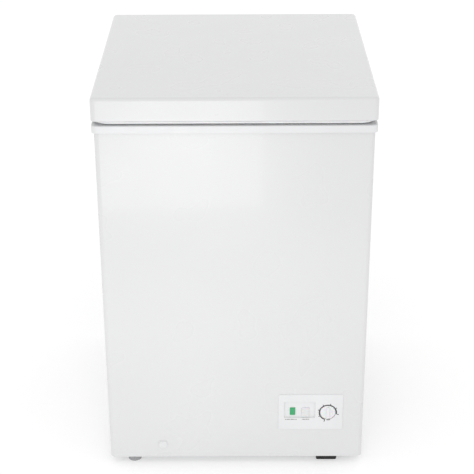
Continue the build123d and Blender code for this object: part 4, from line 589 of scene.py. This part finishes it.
# ---- operators ----------------------------------------------------------------------------
class FREEZER_OT_stage(bpy.types.Operator):
    """Sets the camera, the pale floor and the soft lights"""

    bl_idname = "freezer.stage"
    bl_label = "Stage"

    def execute(self, context):
        look = context.scene.freezer_stage
        lens = bpy.data.cameras.new("camera")
        lens.sensor_width = 36.0
        lens.lens = look.lens
        lens.clip_end = 200.0
        camera = bpy.data.objects.new("camera", lens)
        context.scene.collection.objects.link(camera)
        turn = Matrix.Rotation(look.camera_turn, 4, "Z")
        tilt = Matrix.Rotation(math.pi / 2 - look.camera_tilt, 4, "X")
        roll = Matrix.Rotation(-look.camera_roll, 4, "Z")
        camera.matrix_world = Matrix.Translation(look.camera_place) @ turn @ tilt @ roll
        context.scene.camera = camera

        shape = bmesh.new()
        bmesh.ops.create_grid(shape, x_segments=8, y_segments=8, size=look.floor_size / 2)
        tone = tuple(look.floor_colour)
        floor = Finish("studio_floor", Emission_Strength=look.floor_glow,
                       Emission_Color=(1.0, 1.0, 1.0, 1.0), Specular_IOR_Level=0.2)
        floor.tint(floor.noise(0.8), tone, shade(tone, 0.995))
        floor.roughness(floor.spread(floor.noise(5.0), 0.85, 0.95))
        ground = piece("studio_floor", finished_mesh("studio_floor", shape, False),
                       floor.material)

        world = bpy.data.worlds.new("studio")
        world.use_nodes = True
        backdrop = world.node_tree.nodes["Background"]
        backdrop.inputs["Color"].default_value = (1.0, 1.0, 1.0, 1.0)
        backdrop.inputs["Strength"].default_value = look.sky_strength
        context.scene.world = world
        self.softbox(context, look)
        context.scene.view_settings.view_transform = "Standard"
        context.scene.view_settings.look = "None"
        return {"FINISHED"}

    @staticmethod
    def softbox(context, look):
        """A square light in front of the cabinet, which isn't seen itself."""
        lamp = bpy.data.lights.new("front_softbox", "AREA")
        lamp.energy = look.front_power
        lamp.size = look.front_size
        holder = bpy.data.objects.new("front_softbox", lamp)
        context.scene.collection.objects.link(holder)
        heading = Vector(look.front_target) - Vector(look.front_place)
        aim = heading.to_track_quat("-Z", "Y").to_matrix().to_4x4()
        holder.matrix_world = Matrix.Translation(look.front_place) @ aim
        holder.visible_camera = False


class FREEZER_OT_enamel(bpy.types.Operator):
    """Paints the cabinet and the lid"""

    bl_idname = "freezer.enamel"
    bl_label = "White enamel"

    def execute(self, context):
        tone = tuple(context.scene.freezer_finishes.white_paint)
        finish_nodes(enamel("white_enamel", tone), "cabinet_wrapper", "lid_outer_panel")
        return {"FINISHED"}


class FREEZER_OT_sheet_metal(bpy.types.Operator):
    """Finishes the bare sheets at the back, under the cabinet and round the machine bay"""

    bl_idname = "freezer.sheet_metal"
    bl_label = "Galvanised sheets"

    def execute(self, context):
        tone = tuple(context.scene.freezer_finishes.galvanised)
        finish_nodes(
            galvanised("galvanised_steel", tone),
            "back_panel", "bottom_pan", "machine_bay_wall", "compressor_tray", "rear_cover",
        )
        return {"FINISHED"}


class FREEZER_OT_hardware(bpy.types.Operator):
    """Finishes the hinges and every screw and nut"""

    bl_idname = "freezer.hardware"
    bl_label = "Hinges and screws"

    def execute(self, context):
        tone = tuple(context.scene.freezer_finishes.plated_steel)
        sides = ("left", "right")
        finish_nodes(
            plated("zinc_plate", tone),
            *[f"hinge_{part}_{side}" for part in ("base", "leaf", "pin") for side in sides],
            "hinge_base_screws", "hinge_leaf_screws", "rear_cover_screws", "pad_screws",
            "foot_nuts", "compressor_bolts",
        )
        return {"FINISHED"}


class FREEZER_OT_mouldings(bpy.types.Operator):
    """Finishes the white plastic, the feet and the pads"""

    bl_idname = "freezer.mouldings"
    bl_label = "Plastic and rubber"

    def execute(self, context):
        tones = context.scene.freezer_finishes
        white = tuple(tones.white_plastic)
        finish_nodes(
            moulded("white_moulding", white, Coat_Weight=0.1),
            "top_frame_trim", "control_panel_bezel", "lid_inner_panel", "drain_tube",
            "outer_drain_cap", "inner_drain_plug", "thermostat_spindle", "terminal_block",
        )
        milky = moulded(
            "milky_knob", tuple(tones.knob), 0.18, 0.30,
            Subsurface_Weight=0.35, Subsurface_Scale=0.003, Coat_Weight=0.4,
        )
        finish_nodes(milky, "thermostat_knob")
        grey = moulded("grey_moulding", tuple(tones.grey_plastic), 0.45, 0.62)
        finish_nodes(grey, "levelling_foot_front", "levelling_foot_rear", "thermostat_body")
        black = moulded("black_moulding", tuple(tones.black_plastic), 0.38, 0.55)
        finish_nodes(
            black, "start_relay_cover", "cord_inlet_gland", "wiring_harness", "lamp_holders"
        )
        finish_nodes(
            rubber("black_rubber", tuple(tones.rubber)),
            "foot_pad_front", "foot_pad_rear", "compressor_grommets",
        )
        return {"FINISHED"}


class FREEZER_OT_lenses(bpy.types.Operator):
    """Finishes the lit green lens and the unlit milky lens"""

    bl_idname = "freezer.lenses"
    bl_label = "Lamp lenses"

    def execute(self, context):
        tones = context.scene.freezer_finishes
        finish_nodes(lamp_lens("green_lens", tuple(tones.power_lens), 0.2), "power_lamp_lens")
        finish_nodes(lamp_lens("milky_lens", tuple(tones.run_lens), 0.0), "run_lamp_lens")
        return {"FINISHED"}


class FREEZER_OT_insulation(bpy.types.Operator):
    """Finishes the embossed lining and the foam behind it"""

    bl_idname = "freezer.insulation"
    bl_label = "Lining and foam"

    def execute(self, context):
        tones = context.scene.freezer_finishes
        finish_nodes(stucco("embossed_lining", tuple(tones.liner)), "inner_liner")
        finish_nodes(foamed("rigid_foam", tuple(tones.foam)), "foam_insulation", "lid_foam")
        return {"FINISHED"}


class FREEZER_OT_refrigeration(bpy.types.Operator):
    """Finishes the compressor and its pipes"""

    bl_idname = "freezer.refrigeration"
    bl_label = "Compressor and pipes"

    def execute(self, context):
        tones = context.scene.freezer_finishes
        black = moulded("compressor_paint", tuple(tones.compressor), 0.20, 0.36, 260.0, 0.0001,
                        Coat_Weight=0.3)
        finish_nodes(black, "compressor")
        copper = tuple(tones.copper)
        finish_nodes(
            pipe_metal("copper_pipe", copper, shade(copper, 0.45)),
            "suction_line", "discharge_line", "filter_dryer", "capillary_tube", "process_tube",
            "thermostat_sensor",
        )
        silver = tuple(tones.aluminium)
        finish_nodes(pipe_metal("aluminium_pipe", silver, shade(silver, 0.8)),
                     "evaporator_coil")
        dark = tuple(tones.dark_pipe)
        finish_nodes(pipe_metal("coated_pipe", dark, shade(dark, 1.6), 0.0), "condenser_coil")
        return {"FINISHED"}


class FREEZER_OT_gasket(bpy.types.Operator):
    """Builds the soft folded gasket in the place of its plain solid"""

    bl_idname = "freezer.gasket"
    bl_label = "Gasket"

    point_spacing = 12 * MM
    corner_steps = 24
    long_wave, short_wave, gather_wave = 61.0, 143.0, 700.0  # radians a metre
    magnet_middle = -9  # side of the profile that the ripple pushes the other way, in millimetres
    most_shift = 0.3 * MM

    def execute(self, context):
        sizes = context.scene.freezer_gasket
        low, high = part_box("lid_gasket")
        ring = loop_frames(
            low, high, sizes.corner_radius, self.point_spacing, self.corner_steps
        )
        shape = bmesh.new()
        rows = []
        walked = 0.0
        previous = ring[0][0]
        scale = sizes.width / (18 * MM)
        for place, outward, corner in ring:
            walked += (place - previous).length
            previous = place
            wave = math.sin(walked * self.long_wave)
            wave += 0.6 * math.sin(walked * self.short_wave + 1.3)
            gather = 1.9 * corner * math.sin(walked * self.gather_wave)
            rows.append([])
            for out, up, soft in GASKET_PROFILE:
                side = 1 if out < self.magnet_middle else -1
                shift = sizes.ripple * soft * (0.45 * wave + gather) * side
                flat = place + outward * (out * MM * scale + min(shift, self.most_shift))
                rows[-1].append(shape.verts.new((flat.x, flat.y, low.z + up * MM)))
        count = len(GASKET_PROFILE)
        for row, following in zip(rows, rows[1:] + rows[:1]):
            for i in range(count):
                j = (i + 1) % count
                shape.faces.new((row[i], row[j], following[j], following[i]))
        material = vinyl("gasket_vinyl", tuple(context.scene.freezer_finishes.gasket))
        seal = piece("lid_gasket_folds", finished_mesh("lid_gasket_folds", shape), material,
                     "lid")
        softened = seal.modifiers.new("soft_folds", "SUBSURF")
        softened.levels = softened.render_levels = 1
        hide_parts("lid_gasket")
        return {"FINISHED"}


class FREEZER_OT_basket(bpy.types.Operator):
    """Builds the basket of coated wires in the place of its plain solid"""

    bl_idname = "freezer.basket"
    bl_label = "Wire basket"

    rim_inset_x = 3 * MM
    rim_inset_front = 12.5 * MM
    rim_inset_back = 12 * MM
    corner_radius = 29 * MM
    rim_corner_radius = 32 * MM
    bend_share = 3.5  # radius of a wire's bends, in wire radii

    def execute(self, context):
        sizes = context.scene.freezer_basket
        low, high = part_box("basket_rim")
        low.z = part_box("basket_floor")[0].z
        rim, thin = sizes.rim_wire, sizes.body_wire
        rim_z = high.z - rim
        runs = [(
            rounded_loop((low.x + rim, low.y + rim), (high.x - rim, high.y - rim), rim_z,
                         self.rim_corner_radius - rim),
            True, rim,
        )]
        left, right = low.x + self.rim_inset_x, high.x - self.rim_inset_x
        front, back = low.y + self.rim_inset_front, high.y - self.rim_inset_back
        middle_x, middle_y = (left + right) / 2, (front + back) / 2
        # hoops outside, upright wires inside them
        hoop_z = low.z + sizes.hoop_pitch + thin
        while hoop_z < rim_z - sizes.hoop_pitch / 2:
            runs.append((
                rounded_loop((left + thin, front + thin), (right - thin, back - thin), hoop_z,
                             self.corner_radius - thin),
                True, thin,
            ))
            hoop_z += sizes.hoop_pitch
        inner = 3 * thin
        floor_z = low.z + thin
        half_x = (right - left) / 2 - self.corner_radius
        half_y = (back - front) / 2 - self.corner_radius
        for number in range(-int(half_x / sizes.pitch), int(half_x / sizes.pitch) + 1):
            x = middle_x + number * sizes.pitch
            corners = [
                Vector((x, low.y + rim, rim_z)), Vector((x, front + inner, rim_z)),
                Vector((x, front + inner, floor_z)), Vector((x, back - inner, floor_z)),
                Vector((x, back - inner, rim_z)), Vector((x, high.y - rim, rim_z)),
            ]
            runs.append((rounded_run(corners, self.bend_share * thin), False, thin))
        for number in range(-int(half_y / sizes.pitch), int(half_y / sizes.pitch) + 1):
            y = middle_y + number * sizes.pitch
            corners = [
                Vector((left + inner, y, rim_z)), Vector((left + inner, y, floor_z + 2 * thin)),
                Vector((right - inner, y, floor_z + 2 * thin)), Vector((right - inner, y, rim_z)),
            ]
            runs.append((rounded_run(corners, self.bend_share * thin), False, thin))
        white = tuple(context.scene.freezer_finishes.white_plastic)
        coated = moulded("coated_wire", white, 0.22, 0.34, 300.0, 0.00006, Coat_Weight=0.3)
        basket = piece("wire_basket_wires", wires("wire_basket_wires", runs), coated, "basket")
        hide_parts("basket_rim", "basket_sides", "basket_floor")
        return {"FINISHED"}


class FREEZER_OT_springs(bpy.types.Operator):
    """Builds the hinge springs as fixed coils of wire"""

    bl_idname = "freezer.springs"
    bl_label = "Hinge springs"

    steps_per_turn = 28
    arm_step = 6 * MM

    def execute(self, context):
        sizes = context.scene.freezer_spring
        steel = plated("spring_wire", tuple(context.scene.freezer_finishes.spring_steel), 0.3, 0.5)
        for side in ("left", "right"):
            node = f"hinge_spring_{side}"
            low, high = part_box(node)
            start, end = low.x + sizes.wire, high.x - sizes.wire
            front = HINGE.y - sizes.coil
            path = [Vector((start, front, high.z - self.arm_step * step)) for step in (0, 1, 2)]
            count = self.steps_per_turn * sizes.turns
            for step in range(count + 1):
                turn = 2 * math.pi * step / self.steps_per_turn
                path.append(Vector((
                    start + (end - start) * step / count,
                    HINGE.y - sizes.coil * math.cos(turn),
                    HINGE.z - sizes.coil * math.sin(turn),
                )))
            path += [Vector((end, front, low.z + self.arm_step * step)) for step in (4, 2, 0)]
            name = f"{node}_coil"
            coil = piece(name, wires(name, [(path, False, sizes.wire)]), steel)
            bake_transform(coil)
            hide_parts(node)
        return {"FINISHED"}


class FREEZER_OT_dial(bpy.types.Operator):
    """Prints the dial's ring and marks, a dark arc of painted shade under the knob, and plain bars
    for the lamps' captions
    """

    bl_idname = "freezer.dial"
    bl_label = "Dial printing"

    def execute(self, context):
        sizes = context.scene.freezer_dial
        tones = context.scene.freezer_finishes
        face_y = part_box("control_panel_bezel")[0].y
        self.back, self.front = face_y + 0.02 * MM, face_y - sizes.thickness
        inner = sizes.ring_radius - sizes.ring_width / 2
        outer = sizes.ring_radius + sizes.ring_width / 2
        span = sizes.first_angle - sizes.last_angle
        shape = bmesh.new()
        self.arc(shape, inner, outer, sizes.last_angle, span, 96)
        for number in range(sizes.settings):
            angle = sizes.last_angle + span * number / (sizes.settings - 1)
            reach = 4.2 * MM if number in (0, sizes.settings - 1) else 2.4 * MM
            width = 0.08
            self.arc(shape, outer + 0.3 * MM, outer + 0.3 * MM + reach, angle - width / 2,
                     width, 2)
        # painted shade: a short dark arc in black ink just under the knob, where its lower edge
        # casts shade
        self.arc(shape, inner + 0.3 * MM, outer - 0.2 * MM, math.radians(262), 0.42, 8)
        marks = piece("dial_print_and_shade", finished_mesh("dial_print_and_shade", shape, False),
                      printed("black_ink", tuple(tones.ink)), "cabinet")

        captions = bmesh.new()
        power_low, power_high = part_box("power_lamp_lens")
        run_low, run_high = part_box("run_lamp_lens")
        bar_z = power_low.z - 8.4 * MM
        for low, high in ((power_low.x - 9 * MM, power_high.x + 2 * MM),
                          (run_low.x + 3 * MM, run_high.x - 1 * MM)):
            step = (high - low) / 8
            for number in range(8):
                wide = step * (0.55 + 0.25 * ((number * 5) % 3))
                left = low + number * step
                self.bar(captions, left, left + min(wide, 0.9 * step),
                         bar_z - 0.95 * MM, bar_z + 0.95 * MM)
        bars = piece("lamp_captions", finished_mesh("lamp_captions", captions, False),
                     printed("grey_ink", tuple(tones.faint_ink)), "cabinet")
        return {"FINISHED"}

    def block(self, shape, outline):
        """A closed slab of ink over an outline of (x, z) points."""
        back = [shape.verts.new((x, self.back, z)) for x, z in outline]
        front = [shape.verts.new((x, self.front, z)) for x, z in outline]
        shape.faces.new(back)
        shape.faces.new(reversed(front))
        for i in range(len(outline)):
            j = (i + 1) % len(outline)
            shape.faces.new((back[i], front[i], front[j], back[j]))

    def bar(self, shape, left, right, low, high):
        """An upright rectangle of ink."""
        self.block(shape, [(left, low), (right, low), (right, high), (left, high)])

    def arc(self, shape, inner, outer, start, span, steps):
        """Slab between two radii round the knob's middle."""
        angles = [start + span * i / steps for i in range(steps + 1)]
        rows = []
        for angle in angles:
            across, up = math.cos(angle), math.sin(angle)
            rows.append([
                shape.verts.new((KNOB.x + radius * across, y, KNOB.z + radius * up))
                for radius, y in ((inner, self.back), (outer, self.back),
                                  (outer, self.front), (inner, self.front))
            ])
        for row, following in zip(rows, rows[1:]):
            for i in range(4):
                j = (i + 1) % 4
                shape.faces.new((row[i], row[j], following[j], following[i]))
        shape.faces.new(rows[0])
        shape.faces.new(reversed(rows[-1]))


class FREEZER_PT_panel(bpy.types.Panel):
    """Lists the freezer's steps"""

    bl_idname = "FREEZER_PT_panel"
    bl_label = "Chest freezer"
    bl_space_type = "VIEW_3D"
    bl_region_type = "UI"
    bl_category = "Freezer"

    def draw(self, context):
        for operator in OPERATORS:
            self.layout.operator(operator.bl_idname)
        for name in SETTINGS:
            box = self.layout.box()
            box.label(text=name.replace("freezer_", "").capitalize())
            group = getattr(context.scene, name)
            for prop in group.bl_rna.properties:
                if prop.identifier not in ("rna_type", "name"):
                    box.prop(group, prop.identifier)


SETTINGS = {
    "freezer_stage": FREEZER_PG_stage,
    "freezer_finishes": FREEZER_PG_finishes,
    "freezer_gasket": FREEZER_PG_gasket,
    "freezer_basket": FREEZER_PG_basket,
    "freezer_spring": FREEZER_PG_spring,
    "freezer_dial": FREEZER_PG_dial,
}
OPERATORS = (
    FREEZER_OT_stage,
    FREEZER_OT_enamel,
    FREEZER_OT_sheet_metal,
    FREEZER_OT_hardware,
    FREEZER_OT_mouldings,
    FREEZER_OT_lenses,
    FREEZER_OT_insulation,
    FREEZER_OT_refrigeration,
    FREEZER_OT_gasket,
    FREEZER_OT_basket,
    FREEZER_OT_springs,
    FREEZER_OT_dial,
)


def register():
    for group in (*SETTINGS.values(), *OPERATORS, FREEZER_PT_panel):
        bpy.utils.register_class(group)
    for name, group in SETTINGS.items():
        setattr(bpy.types.Scene, name, PointerProperty(type=group))


def unregister():
    for name in SETTINGS:
        delattr(bpy.types.Scene, name)
    for group in (FREEZER_PT_panel, *reversed(OPERATORS), *reversed(SETTINGS.values())):
        bpy.utils.unregister_class(group)


def main():
    """Builds the freezer."""
    register()
    for operator in OPERATORS:
        getattr(bpy.ops.freezer, operator.bl_idname.split(".")[1])()


if __name__ == "__main__":
    main()
